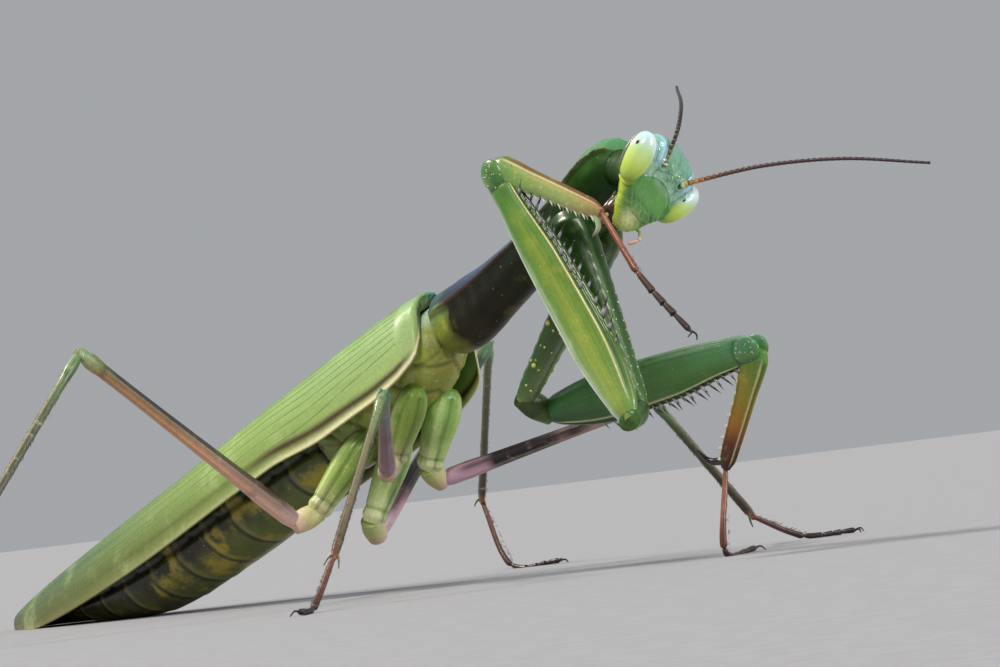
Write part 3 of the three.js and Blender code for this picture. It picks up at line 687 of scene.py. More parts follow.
# %% Make the abdomen
abdomen_path = smooth_path([hind_place(-10.56, 0, -2.7), hind_place(-19.4, 0, -3.0),
                            hind_place(-28.4, 0, -2.9), hind_place(-37.4, 0, -1.5)])
abdomen_parts = [limb(abdomen_path, HIND[2], ABDOMEN_STATIONS, sides=110, rings=260, carve=carve_abdomen)]
for side in (-1, 1):
    ends = hind_place(-36.9, side * 0.5, -1.35), hind_place(-38.6, side * 0.95, -1.2)
    abdomen_parts.append(limb(ends, HIND[2], CERCUS, sides=14, rings=40, carve=carve_cercus))
piece("abdomen_shell", abdomen_parts, abdomen_cuticle,
      ["abdomen_front", "abdomen_middle", "abdomen_rear"])

# %% [markdown]
# ## Wings
# The fore wings, or tegmina, are leathery covers that fold like a roof over the back, and
# the hind wings lie under them as clear fans, of which only the edges show. Each is a thin
# blade that follows the same roof surface as its solid. The right cover lies over the left
# along the back, so its inner edge is carried across the middle. A cream costal edge and a
# brown line above it run along the lower margin, the back edge is teal.

# %% Mix the wing finishes
tegmen_leather = cuticle("wing_cover_leathery", """
    -1: 0 #8a9c5c, 0.35 #7a8a4c, 0.6 #6c7440, 1 #70603e
    -0.86: 0 #8ea664, 0.35 #7c924c, 0.6 #66783c, 1 #525234
    -0.3: 0 #86a466, 0.4 #7f994e, 0.6 #6b8048, 0.8 #546843, 1 #485640
    0.45: 0 #7ea066, 0.4 #769454, 0.6 #5c7a50, 0.8 #456048, 1 #3a4e40
    0.85: 0 #4e8870, 0.4 #3f725a, 1 #305442""",
    clouds=[("#b3c88c", 3.0, 0.52, 0.7, 0.35), ("#5f7f42", 1.6, 0.54, 0.7, 0.3)],
    marks=("#d6d0a4", "#3e2810", "#2f5a44"), roughness=0.45, coat=0.06, glow=0.1, wander=0.05, shine=0.24)
hind_wing_film = cuticle("hind_wing_film", """
    -1: 0 #7c7a40, 0.5 #5c5c30, 1 #4a4628
    1: 0 #3f6a50, 0.5 #35523c, 1 #40503a""",
    clouds=[("#23301c", 1.5, 0.5, 0.7, 0.5)], marks=("#a08a5a", "#2c2416", None), roughness=0.3)

# %% [markdown]
# A wing is measured along its length: how far it reaches out, how far its side drops and
# how high its crown stands over the back.

# %% Shape the wings
INNER_EDGE = 0.1
WING_END = 42.2
TEGMEN = {"root": 0.2, "length": WING_END - 0.2, "reach": [(0, 1.7), (0.03, 2.6), (0.12, 3.05), (0.3, 3.45)],
          "drop": [(0, 2.6), (0.012, 3.9), (0.04, 4.7), (0.1, 5.05), (0.18, 5.05), (0.3, 4.5), (0.5, 4.3),
                   (1, 4.2)],
          "crown": [(0, 1.45), (0.06, 1.4), (0.35, 0.85), (0.6, 0.5), (1, 0.3)]}
HIND_WING = {"root": 11, "length": WING_END - 11.8, "reach": [(0, 1.7), (0.15, 2.0), (0.3, 2.1)],
             "drop": [(0, 0.8), (0.3, 0.95), (1, 0.95)], "crown": [(0, -0.08), (0.4, -0.12), (1, -0.45)]}


def wing_place(shape, side, across, t, proud):
    """Point of a wing; proud is its height above the middle surface."""
    def surface(across):
        tip = np.sqrt(1 - 0.96 * np.clip((t - 0.5) / 0.5, 0, 1) ** 2.2)
        bend = np.clip(across, 0, 1) * np.pi / 2
        out = flow(shape["reach"], t) * tip
        fall = flow(shape["drop"], t) * tip
        beyond = np.minimum(across, 0)
        return (INNER_EDGE + out * np.sin(bend) ** 0.75 + 3.0 * beyond * tip,
                flow(shape["crown"], t) - fall * (1 - np.cos(bend) ** 0.75) - 0.9 * beyond)
    out, height = surface(across)
    near, far = surface(np.maximum(across - 0.04, 0)), surface(np.minimum(across + 0.04, 1))
    slope = np.stack([far[0] - near[0], far[1] - near[1]])
    slope = slope / (np.linalg.norm(slope, axis=0) + 1e-9)
    out, height = out - slope[1] * proud * (across > 0), height + slope[0] * proud
    back = -(shape["root"] + shape["length"] * t)
    return placed(WAIST, HIND, np.stack(np.broadcast_arrays(back, side * out, height), -1))


WING_THICKNESS = 0.14
CROWDING = 1.7  # columns crowd towards the lower edge, where the stripes are fine


def blade(shape, side, start=0.0, proud=0.2, rows=150, columns=56, relief=None):
    t = np.linspace(0.002, 1, rows)[:, None]
    across = start + (1 - start) * (1 - (1 - np.linspace(0, 1, columns)) ** CROWDING)[None]
    press = relief(t, across) if relief else 0
    outer = wing_place(shape, side, across + 0 * t, t, proud + press)
    inner = wing_place(shape, side, across + 0 * t, t, proud - WING_THICKNESS + press)
    rings = np.concatenate([outer, inner[:, ::-1]], 1)
    height = np.broadcast_to(1 - 2 * across, (rows, columns))
    chart = np.stack(np.broadcast_arrays(t, np.repeat([1.0, -1.0], columns)[None],
                                         np.concatenate([height, height[:, ::-1]], 1)), -1)
    above_edge = np.cos(np.clip(across, 0, 1) * np.pi / 2) ** 0.75
    stripe = bump(above_edge, 0.02, 0.045) * (0.25 + 0.75 * step_up(t, 0.42, 0.15)) * step_up(t, 0.8, 0.5)
    brown = (bump(above_edge, 0.1 + 0.22 * t, 0.04 + 0.05 * t) * step_up(t, 0.005, 0.03)
             * (0.35 + 0.65 * step_up(t, 0.4, 0.26)) * step_up(t, 0.95, 0.6))
    fold = bump(across, 0.8 - 0.25 * t, 0.05) * step_up(t, 0.55, 0.75) * 0.5
    marks = three(*np.broadcast_arrays(stripe, brown, fold))
    return shell(rings, chart, np.concatenate([marks, marks[:, ::-1]], 1))

# %% Make the wings
VEIN_COUNT = 11


def vein_lines(t, across):
    """Faint pleats between the long veins."""
    fan = across * (VEIN_COUNT + 1) * (0.75 + 0.25 * step_up(t, 0, 0.3))
    return 0.005 * np.cos(fan * 2 * np.pi) * step_up(t, 0, 0.1)


COVERS = (("right", -1, -0.12, 0.2), ("left", 1, 0.0, 0.1))  # side, inner edge, height over the roof
for name, side, start, proud in COVERS:
    piece(f"wing_cover_{name}", [blade(TEGMEN, side, start, proud, relief=vein_lines)], tegmen_leather,
          [f"tegmen_{name}"])
    piece(f"hind_wing_{name}_fan", [blade(HIND_WING, side, rows=90, columns=30)], hind_wing_film,
          [f"hind_wing_{name}"])

# %% [markdown]
# ### Veins
# Veins follow a path and differ only in their line, so Geometry Nodes make them: the lines
# are drawn as a bare edge mesh on the wing, and the tree turns them to curves, tapers them
# towards the tip and gives them a round section. All trees start and end alike, so a few
# helpers open them, close them and run them.

# %% Build geometry tree helpers and the vein tree
def new_tree(name, **sizes):
    """A tree with a mesh in, a mesh out, a material and named numbers; and its inputs."""
    tree = bpy.data.node_groups.new(name, "GeometryNodeTree")
    tree.interface.new_socket("Geometry", in_out="INPUT", socket_type="NodeSocketGeometry")
    for label, value in sizes.items():
        kind = "NodeSocketInt" if isinstance(value, int) else "NodeSocketFloat"
        socket = tree.interface.new_socket(label.replace("_", " "), in_out="INPUT", socket_type=kind)
        socket.default_value = value
    tree.interface.new_socket("Material", in_out="INPUT", socket_type="NodeSocketMaterial")
    tree.interface.new_socket("Geometry", in_out="OUTPUT", socket_type="NodeSocketGeometry")
    return tree, node(tree, "NodeGroupInput").outputs


def realized(tree, geometry):
    return result(tree, "GeometryNodeRealizeInstances", {"Geometry": geometry})


def close_tree(tree, entry, geometry):
    dressed = result(tree, "GeometryNodeSetMaterial", {"Geometry": geometry, "Material": entry["Material"]})
    node(tree, "NodeGroupOutput", {"Geometry": dressed})


def guide_value(tree, name, kind="FLOAT_VECTOR"):
    return result(tree, "GeometryNodeInputNamedAttribute", {"Name": name}, "Attribute", data_type=kind)


def stored(tree, geometry, name, value, kind="FLOAT_VECTOR", domain="POINT"):
    return result(tree, "GeometryNodeStoreNamedAttribute",
                  {"Geometry": geometry, "Name": name, "Value": value}, data_type=kind, domain=domain)


def triple(tree, x, y, z):
    return result(tree, "ShaderNodeCombineXYZ", {"X": x, "Y": y, "Z": z})


def aimed(tree, vector):
    return result(tree, "FunctionNodeAlignRotationToVector", {"Vector": vector}, axis="Z")


def set_on_points(tree, points, instance, **turn_and_size):
    return realized(tree, result(tree, "GeometryNodeInstanceOnPoints",
                                 {"Points": points, "Instance": instance, **turn_and_size}))


def grow(name, tree, source, material, node_names=(), slot=None, **values):
    """Runs a tree on a guide, keeps the result as a plain mesh and drops the guide."""
    modifier = source.modifiers.new(tree.name, "NODES")
    modifier.node_group = tree
    sockets = {s.name: s.identifier for s in tree.interface.items_tree if s.in_out == "INPUT"}
    for label, value in {**values, "Material": material}.items():
        modifier[sockets[label.replace("_", " ")]] = value
    source.update_tag()
    evaluated = source.evaluated_get(bpy.context.evaluated_depsgraph_get())
    mesh = bpy.data.meshes.new_from_object(evaluated)
    mesh.name = name
    source.modifiers.remove(modifier)
    finish_piece(shown(name, mesh), None, node_names)
    line = source.data
    bpy.data.objects.remove(source)
    bpy.data.meshes.remove(line)


def guide(name, points, edges=(), **layers):
    """The bare points and lines that a tree grows on."""
    return shown(name, new_mesh(name, points, edges, **layers))


def chain(start, count):
    """The edges that join a row of points."""
    return [(start + i, start + i + 1) for i in range(count - 1)]


vein_tree, entry = new_tree("veins", Thickness=0.00004, Taper=0.4)
lines = result(vein_tree, "GeometryNodeMeshToCurve", {"Mesh": entry["Geometry"]})
along = result(vein_tree, "GeometryNodeSplineParameter", None, "Factor")
thin = ranged(vein_tree, along, 0.0, 1.0, 1.0, entry["Taper"])
section = result(vein_tree, "GeometryNodeCurvePrimitiveCircle",
                 {"Resolution": 6, "Radius": entry["Thickness"]})
tube = result(vein_tree, "GeometryNodeCurveToMesh",
              {"Curve": lines, "Profile Curve": section, "Scale": thin, "Fill Caps": True})
close_tree(vein_tree, entry, realized(vein_tree, tube))

# %% Lay the veins on the wing covers
vein_wax = cuticle("vein_waxy", "-1: 0 #8cac68, 1 #6c8050", roughness=0.45, shine=0.2)
VEIN_STEPS = 70
VEIN_RADIUS = 0.011
for name, side, _, proud in COVERS:
    points, edges = [], []
    for k in range(1, VEIN_COUNT):
        t = np.linspace(0.03, 0.985 - 0.02 * (k % 3), VEIN_STEPS)
        fan = k / VEIN_COUNT
        across = fan + (0.5 - fan) * 0.25 * (1 - step_up(t, 0, 0.3)) + 0.006 * np.sin(t * 9 + k)
        line = wing_place(TEGMEN, side, across, t, proud + 0.01)
        line[:, 2] = np.maximum(line[:, 2], REST_LEVEL + VEIN_RADIUS)
        edges += chain(len(points), VEIN_STEPS)
        points += line.tolist()
    net = guide(f"vein_lines_{name}", points, edges)
    grow(f"wing_veins_{name}", vein_tree, net, vein_wax, slot="leaf_green",
         Thickness=VEIN_RADIUS * MM, Taper=0.5)

# %% [markdown]
# ## Legs
# Each leg has a hip segment (coxa), a small hinge piece (trochanter), a thigh (femur), a
# shin (tibia) and a foot (tarsus). The joint points are found by walking from the hip along
# each length; the plane in which femur and tibia fold gives every piece its depth.

# %% Walk along the legs
# length, heading and rise of coxa, trochanter, femur, tibia and of both halves of the foot
LEGS = {
    "fore_right": [(11.76, -106.5, -64.2), (1.9, -150, -13), (15.8, 89, 61), (7.4, -85, -25),
                   (4.3, -93, -57), (4.3, -92, -46)],
    "fore_left": [(12.77, 82.0, -42.6), (1.6, -12, -30), (15.3, -88, 7), (7.2, 79, -57),
                  (4.2, 174, -80), (3.6, 16, 0)],
    "mid_right": [(4.2, 84, -58), (1.2, -153, -24), (12.8, -132, 18), (11.2, -160, -46),
                  (3.6, -161, -41), (2.6, -147, 0)],
    "mid_left": [(4.2, 109, -63), (1.2, 12, -32), (12.8, -58, 13), (11.2, 10, -39),
                 (3.4, -23, -26), (3.0, -38, 0)],
    "hind_right": [(4.8, 138, -53), (1.2, 159, -20), (16.6, 174, 39), (16.4, -177, -45),
                   (4.4, -176, -44), (3.6, 178, 0)],
    "hind_left": [(4.8, 138, -61), (1.2, 33, -36), (16.6, 10, 38), (16.4, 52, -34),
                  (4.4, -95, -61), (3.6, -80, 0)],
}
HIPS = {"fore": (14.0, 1.5, -1.3), "mid": (-2.6, 1.5, -3.6), "hind": (-7.3, 1.6, -4.1)}
JOINTS = ("hip", "knuckle", "hinge", "knee", "ankle", "instep", "toe")
FOOT_HEIGHT = 0.2


def fold_up(start, middle, end):
    axis = unit(middle - start)
    return unit((end - middle) - axis * np.dot(end - middle, axis))


def walked(name):
    """A leg's joints, and the directions that its pieces are built on."""
    pair, side_name = name.split("_")
    side = -1 if side_name == "right" else 1
    trunk = FORE if pair == "fore" else HIND
    forward, out, up = HIPS[pair]
    places = [placed(WAIST, trunk, (forward, side * out, up))]
    for length, heading, rise in LEGS[name]:
        places.append(places[-1] + length * direction(heading, rise))
    leg = SimpleNamespace(pair=pair, side_name=side_name, side=side, outside=side * trunk[1],
                          **dict(zip(JOINTS, places)))
    if LEGS[name][-1][2] == 0:
        leg.instep[2] = FOOT_HEIGHT + 0.05
        leg.toe[2] = FOOT_HEIGHT
    leg.thigh_axis = unit(leg.knee - leg.hinge)
    leg.shin_axis = unit(leg.ankle - leg.knee)
    leg.dorsal = -fold_up(leg.hinge, leg.knee, leg.ankle)
    leg.shin_dorsal = -fold_up(leg.knee, leg.ankle, leg.hinge)
    leg.across = np.cross(leg.thigh_axis, leg.dorsal)
    return leg


legs = {name: walked(name) for name in LEGS}
FORE_LEGS = [leg for leg in legs.values() if leg.pair == "fore"]
WALKING_LEGS = [leg for leg in legs.values() if leg.pair != "fore"]
for name, leg in legs.items():
    print(name, "knee", leg.knee.round(1), "toe", leg.toe.round(1))

# %% [markdown]
# ### Leg finishes
# The grasping legs are leaf green. Along the outer face of the fore femur a yellow-green
# band runs between a back edge with a painted silvery highlight and a raised cream rib above
# the spines. The walking legs are rose brown with darker and greener joints, the feet nearly
# black.

# %% Mix the finishes of the fore legs
# The pale bands at the back (0.78 and 1) and the third mark are a painted silvery highlight along the back
# edge.
fore_femur_right_cuticle = cuticle("cuticle_fore_femur_waxed_painted_sheen", """
    -1: 0 #5f7d2c, 0.5 #33541a, 0.9 #3f6a28, 1 #4f7a38
    -0.74: 0 #6f9440, 0.5 #557a24, 0.9 #4f7d30, 1 #4f7a38
    -0.1: 0 #8f9c48, 0.3 #83963c, 0.6 #7a8c34, 0.86 #56802a, 0.95 #356028, 1 #4a7340
    0.4: 0 #88a45c, 0.35 #6c8c38, 0.7 #55802a, 0.93 #42742a, 1 #4f7a44
    0.78: 0 #c9dcc0, 0.35 #b4cda4, 0.75 #7aa05c, 1 #5f8a50
    1: 0 #e6eee2, 0.5 #dbe8d6, 0.85 #a9c89f, 1 #7fa672""",
    clouds=[("#a9a850", 1.6, 0.52, 0.72, 0.3), ("#3f6a22", 2.4, 0.53, 0.7, 0.45)], streaks=0.15,
    freckles=[("#c3d69a", 0.9, 0.07, 0.5)], marks=("#e9d9a2", "#23401a", "#e4efe0"), roughness=0.3, coat=0.3,
    wander=0.09)
# The palest band at the back (1) and the third mark are a painted highlight along the back edge.
fore_femur_left_cuticle = cuticle("cuticle_fore_femur_deep_green", """
    -1: 0 #24501c, 0.5 #2c5418, 1 #3f6a34
    -0.5: 0 #1e4e22, 0.5 #3a6620, 0.9 #467430, 1 #55804c
    0.3: 0 #235a2a, 0.3 #3c6e2a, 0.7 #4a7a34, 1 #4f8460
    0.8: 0 #2c5c30, 0.5 #487838, 1 #5c8c66
    1: 0 #46744a, 0.6 #5f8a5c, 1 #7aa488""",
    clouds=[("#8aa84a", 1.6, 0.54, 0.72, 0.3), ("#2c5a1c", 2.2, 0.55, 0.72, 0.3)], streaks=0.13,
    freckles=[("#b4cc9a", 0.9, 0.06, 0.4)], marks=("#dcd7a2", "#1c3814", "#88ae88"), roughness=0.3, coat=0.3,
    wander=0.09)
# On both fore tibiae the first mark is partly a painted highlight: a pale stripe below the top edge, beside
# pale scallops on the lower edge.
fore_tibia_right_cuticle = cuticle("cuticle_fore_tibia_tan_edge", """
    -1: 0 #6f9a4c, 0.6 #8aa660, 1 #a98a5a
    0: 0 #4f8038, 0.3 #7f9a50, 0.7 #8f9a5c, 1 #94804c
    0.75: 0 #4f8044, 0.15 #7a8a48, 0.6 #94904f, 1 #8f7044
    1: 0 #5a7a40, 0.2 #6f5028, 1 #6f4426""",
    clouds=[("#c9c592", 0.6, 0.56, 0.7, 0.5)], marks=("#d9cfa0", "#5a3a1c", None), roughness=0.34)
fore_tibia_left_cuticle = cuticle("cuticle_fore_tibia_rust", """
    -1: 0 #4f7f24, 0.3 #7a7a1a, 0.6 #8e5c12, 0.82 #4c1e0a, 1 #2e1006
    0.2: 0 #46792c, 0.3 #84821c, 0.6 #966212, 0.82 #54240c, 1 #321208
    1: 0 #4f7f34, 0.4 #7c7a24, 0.68 #865018, 0.84 #481c0a, 1 #280e06""",
    clouds=[("#c9a23a", 0.8, 0.55, 0.7, 0.4)], marks=("#e2dcae", "#4a3a18", None), roughness=0.3)
fore_coxa_right_cuticle = cuticle("cuticle_fore_coxa_green", """
    -1: 0 #204410, 0.5 #264412, 1 #40602a
    0: 0 #1c4610, 0.3 #1c400e, 0.7 #2a4a14, 1 #4c7030
    1: 0 #285a18, 0.5 #2a5418, 1 #507438""",
    clouds=[("#5c8234", 1.2, 0.56, 0.7, 0.5), ("#0c1e06", 1.8, 0.54, 0.7, 0.5)],
    freckles=[("#c5d0a4", 0.6, 0.1, 0.6)], marks=("#a9c494", "#142a0a", None), roughness=0.34, coat=0.2,
    shine=0.2)
fore_coxa_left_cuticle = cuticle("cuticle_fore_coxa_olive", """
    -1: 0 #34490f, 0.5 #2c3f12, 1 #6a7a44
    0: 0 #32480f, 0.4 #2b400c, 0.8 #2f561e, 0.95 #4a6a34, 1 #8a9a60
    1: 0 #46641c, 0.5 #4a6c2c, 1 #4c7a48""",
    clouds=[("#6a7f2c", 1.3, 0.55, 0.7, 0.4), ("#1d2f0e", 1.9, 0.55, 0.7, 0.4)],
    freckles=[("#d6d887", 1.1, 0.14, 0.9)], marks=("#9aa9a0", "#20300f", "#d9d58e"), roughness=0.34)

# %% Mix the finishes of the walking legs, feet and claws
# The first mark colour is a painted highlight on the keels, the second painted shade in the furrows.
hip_cuticle = cuticle("cuticle_hip_pale", """
    -1: 0 #6f8a30, 0.6 #8aa24a, 1 #c2b58c
    0.2: 0 #6f9440, 0.5 #94b460, 0.85 #a9be78, 1 #d3bfa0
    1: 0 #7fa650, 0.5 #a3c274, 1 #cfd0a0""",
    clouds=[("#d8dc8c", 1.0, 0.56, 0.7, 0.5), ("#4f6a28", 1.5, 0.55, 0.7, 0.5)],
    marks=("#c9d690", "#4a6424", None), roughness=0.45, glow=0.12, shine=0.24, streaks=0.14)

knuckle_cuticle = cuticle("cuticle_knuckle_cream", """
    -1: 0 #9aa656, 0.5 #b4aa70, 1 #c9a890
    0.6: 0 #a9b870, 0.5 #c6c08c, 1 #d3b8a0""",
    clouds=[("#d8cc9c", 0.8, 0.56, 0.7, 0.4), ("#6f7a38", 1.1, 0.56, 0.7, 0.4)], roughness=0.38, glow=0.12)

DARK_ROSE = "#2a1e22"


def rose_brown(name, back, belly):
    return cuticle(name, f"-1: {belly}\n0.2: {back}\n1: {back}",
                   clouds=[("#c39a8c", 0.9, 0.56, 0.7, 0.35), (DARK_ROSE, 1.3, 0.55, 0.7, 0.4)],
                   marks=("#d6c2a4", DARK_ROSE, "#3a2633"), roughness=0.36, coat=0.2, glow=0.06, wander=0.05)


walking_femur_cuticle = {
    "hind_right": rose_brown(
        "cuticle_hind_femur_copper",
        "0 #b89a98, 0.12 #66504a, 0.5 #42382c, 0.85 #443e2a, 0.93 #6f7a48, 1 #86a070",
        "0 #cfa898, 0.5 #c8946c, 0.9 #a87e54, 1 #86a070"),
    "hind_left": rose_brown(
        "cuticle_hind_femur_pink",
        "0 #cdaeb2, 0.16 #b98c90, 0.24 #2b2226, 0.4 #46463a, 0.8 #2f4432, 1 #4a6a48",
        "0 #d2b4b4, 0.3 #a08078, 0.7 #4c5a3c, 1 #4a6a48"),
    "mid_right": rose_brown(
        "cuticle_mid_femur_plum",
        "0 #8a6670, 0.4 #5a3c46, 0.75 #4a3640, 0.86 #345a4c, 1 #4f8a68",
        "0 #9a747c, 0.5 #6a4650, 1 #4a7a5c"),
    "mid_left": rose_brown(
        "cuticle_mid_femur_barred",
        "0 #c9a0b4, 0.22 #b08a9a, 0.27 #08080e, 0.52 #0a0910, 0.57 #8a625c, 0.64 #3a2a2c, 0.72 #a8847c, "
        "1 #8a6a58",
        "0 #d0a8b0, 0.24 #a87f80, 0.3 #1a161c, 0.5 #1a161c, 0.57 #9a7468, 1 #8a6a58"),
}
walking_tibia_cuticle = cuticle("cuticle_shin_bronze", """
    -1: 0 #56703c, 0.2 #585a32, 0.6 #48402c, 0.93 #3c2c20, 1 #a8642c
    0.3: 0 #648450, 0.25 #4a5232, 0.6 #3f3c2a, 0.93 #33281e, 1 #a05f2c
    1: 0 #7a9464, 0.3 #767252, 0.7 #6e634e, 1 #54392a""",
    clouds=[("#c9bd96", 0.7, 0.57, 0.7, 0.5), ("#241c16", 1.2, 0.55, 0.7, 0.4)], roughness=0.4, wander=0.05)
foot_cuticle = cuticle("cuticle_foot_dark", """
    -1: 0 #56362a, 0.35 #3a2620, 0.6 #221a18, 1 #1a1414
    0.8: 0 #6f4636, 0.35 #523428, 0.6 #2c201e, 1 #1e181a""",
    clouds=[("#9a7a68", 0.4, 0.57, 0.7, 0.5)], marks=("#8a6a58", "#141012", None), roughness=0.42, glow=0.02)
fore_foot_cuticle = cuticle("cuticle_fore_foot_russet", """
    -1: 0 #70402c, 0.42 #5a3022, 0.5 #2c1c16, 1 #1c1412
    0.8: 0 #9a6048, 0.42 #7f4a36, 0.5 #4a2e24, 1 #2a1e1c""",
    clouds=[("#b08468", 0.4, 0.58, 0.7, 0.5)], marks=("#8a6a58", "#141012", None), roughness=0.38, glow=0.02)
claw_horn = cuticle("claw_horn", "-1: 0 #3a2416, 0.3 #1c1210, 1 #0e0a0a", roughness=0.2, coat=0.5, glow=0.0)
pale_claw_horn = cuticle("claw_horn_pale", "-1: 0 #8aa068, 0.5 #a9b88c, 0.85 #8a7a58, 1 #3a2418",
    roughness=0.2, coat=0.5, glow=0.0)

# %% [markdown]
# ### Fore legs
# The grasping femur is a blade: deep, thin, sharp along the back, with a cream rib low on
# each face and a gutter between two rows of spines, into which the tibia folds like a
# pocket knife. Knee lobes cover the joint, and a hooked claw ends the tibia.

# %% Carve the fore legs
FORE_COXA = {"right": [(0, 0.65, 0.85), (0.08, 1.0, 1.38), (0.4, 0.86, 1.15), (0.8, 0.7, 0.8),
                       (0.97, 0.62, 0.66), (1, 0.5, 0.54)]}
FORE_COXA["left"] = [(t, wide * 0.9, deep * 0.8) for t, wide, deep in FORE_COXA["right"]]
TROCHANTER = [(0, 0.5, 0.54), (0.45, 0.66, 0.76), (1, 0.5, 0.62)]
FORE_FEMUR = [
    (0, 0.38, 0.48), (0.06, 0.62, 0.88, -0.04), (0.32, 0.72, 1.43, -0.15), (0.6, 0.72, 1.34, -0.13),
    (0.86, 0.62, 0.96), (0.96, 0.57, 0.82), (1, 0.28, 0.38),
]
FORE_TIBIA = [
    (0, 0.4, 0.55, 0.1), (0.08, 0.5, 0.78, 0.1), (0.4, 0.38, 0.6, 0.1), (0.9, 0.33, 0.46), (1, 0.22, 0.28),
]


def carve_fore_femur(t, angle):
    a = np.abs(angle)
    middle = step_up(t, 0.02, 0.12) * step_up(t, 0.97, 0.86)
    rib = bump(a, 139, 2.2) * middle
    gutter = bump(a, 180, 9) * step_up(t, 0.15, 0.3) * step_up(t, 0.95, 0.85)
    strip = bump(a, 152, 7) * middle
    pinch = bump(a, 28, 20) * middle
    pads = (0.012 * bump(a, 166, 6) * np.sin(t * 2 * np.pi * 22) * step_up(t, 0.25, 0.3)
            * step_up(t, 0.88, 0.84))
    knee_groove = bump(t, 0.93, 0.012) * step_up(a, 20, 60)
    push = 0.08 * rib - 0.2 * gutter - 0.07 * strip - 0.10 * pinch + pads - 0.07 * knee_groove
    shade = np.clip(0.7 * strip + 0.6 * gutter + 0.7 * knee_groove, 0, 0.8)
    # The third mark is a painted silvery highlight along the back edge.
    return push, three(np.clip(rib * 1.1, 0, 1), shade, bump(a, 0, 9) * middle * 0.55)


def carve_fore_tibia(t, angle):
    a = np.abs(angle)
    middle = step_up(t, 0.03, 0.12) * step_up(t, 1.0, 0.92)
    push = 0.06 * bump(a, 0, 14) * middle - 0.05 * bump(a, 40, 16) * middle - 0.1 * bump(a, 180, 12) * middle
    scallops = bump(a, 155, 12) * (0.5 + 0.5 * np.sin(t * 2 * np.pi * 12)) * middle
    # First mark: pale scallops on the lower edge, and a painted highlight stripe just below the tan top edge.
    pale_scallops_and_highlight = np.clip(scallops * 0.5 + 0.6 * bump(a, 34, 6) * middle, 0, 1)
    brown = np.clip(bump(a, 180, 14) * 0.5 + 0.8 * bump(a, 20, 6) * middle, 0, 0.85)
    return push + 0.04 * scallops, three(pale_scallops_and_highlight, brown)


def carve_fore_coxa(t, angle):
    a = np.abs(angle)
    middle = step_up(t, 0.04, 0.12) * step_up(t, 0.98, 0.9)
    edges = (bump(a, 150, 8) + bump(a, 20, 9)) * middle
    dents = 0.5 + 0.5 * np.sin(t * 2 * np.pi * 15 + a * 0.05)
    return 0.08 * edges * (0.6 + 0.4 * dents) - 0.07 * bump(a, 90, 28) * middle, three(edges * 0.25)

# %% [markdown]
# All six legs share the knee lobes, the hooked thorn, the foot of five toe joints and the
# hinge piece, each with its own sizes.

# %% Define knee lobes, claws and feet
FORE_LOBE, WALKING_LOBE = (0.95, 0.9), (0.42, 0.55)  # size and reach of the knee lobes
LOBE_THICKNESS = 0.26


def lobe_centre(leg, side, size, reach):
    return leg.knee - leg.thigh_axis * reach * 0.45 + leg.across * side * size * 0.42


def knee_lobes(leg, size, reach):
    """A pair of oval plates that hide a knee's hinge."""
    return [oval(lobe_centre(leg, side, size, reach), (leg.across, leg.thigh_axis, leg.dorsal),
                 (LOBE_THICKNESS * size, reach, 0.74 * size), sides=28, rings=21, along=0.97)
            for side in (-1, 1)]


def hooked(root, bend, tip, radius, up, sides=16, rings=36):
    waist = radius * 0.72
    thorn = [(0, radius, radius), (0.5, waist, waist), (1, 0.03, 0.03)]
    return limb(smooth_path([root, bend, tip]), up, thorn, sides=sides, rings=rings, ends=0)


def link_of(path, start, end, up, stations, gap=0.0, **grid):
    """One joint of a chain: a limb over a share of a path, charted by its place in the whole."""
    part = limb(lambda t: path(start + (end - start) * (gap + (1 - 2 * gap) * np.asarray(t))), up, stations,
                **grid)
    part[2][:, 0] = start + (end - start) * part[2][:, 0]
    return part


FORE_TOES = (0, 0.46, 0.63, 0.74, 0.84, 1.0)
WALKING_TOES = (0, 0.5, 0.68, 0.78, 0.86, 1.0)
LAST_TOE = [(0, 0.09, 0.09), (0.1, 0.12, 0.12), (0.8, 0.17, 0.16), (1, 0.08, 0.08)]
FOOT_UP = np.array([0.2, 0.1, 1.0])


def foot(leg):
    """Five toe joints, each flared at its end, and two claws."""
    path = smooth_path([leg.ankle, leg.instep, leg.toe])
    shares = FORE_TOES if leg.pair == "fore" else WALKING_TOES
    parts = []
    for i, (start, end) in enumerate(zip(shares, shares[1:])):
        wide = 0.19 if i == 0 else 0.2
        toe = [(0, 0.1, 0.1), (0.08, 0.14, 0.14), (0.8, wide, wide * 0.9), (0.95, wide * 1.05, wide, -0.02),
               (1, 0.1, 0.1, -0.02)]
        parts.append(link_of(path, start, end, FOOT_UP, LAST_TOE if end == 1 else toe, gap=0.01,
                             sides=18, rings=40 if i == 0 else 22))
    parts.append(oval(leg.ankle, (unit(leg.instep - leg.ankle), *np.eye(3)[1:]), (0.2, 0.2, 0.2), along=0.0))
    end, before = path(np.array([1.0, 0.94]))
    ahead = unit(end - before)
    out = unit(np.cross(ahead, FOOT_UP))
    down = -np.cross(out, ahead)
    for turn in (-1, 1):
        root = end - ahead * 0.06
        bend = root + ahead * 0.3 + out * turn * 0.22 - down * 0.05
        claw = hooked(root, bend, root + ahead * 0.42 + out * turn * 0.42 + down * 0.18, 0.07, FOOT_UP,
                      sides=10, rings=14)
        claw[2][:, 0] = 1.0
        parts.append(claw)
    return parts


def leg_piece(leg, part, shells, finish):
    """A piece of a leg, in place of the solid of the same name."""
    solid = f"{leg.pair}_{part}_{leg.side_name}"
    piece(f"{solid}_shell", shells, finish, [solid])


def leg_foot(leg, finish):
    piece(f"{leg.pair}_foot_{leg.side_name}", foot(leg), finish,
          [f"{leg.pair}_tarsus_{leg.side_name}"])


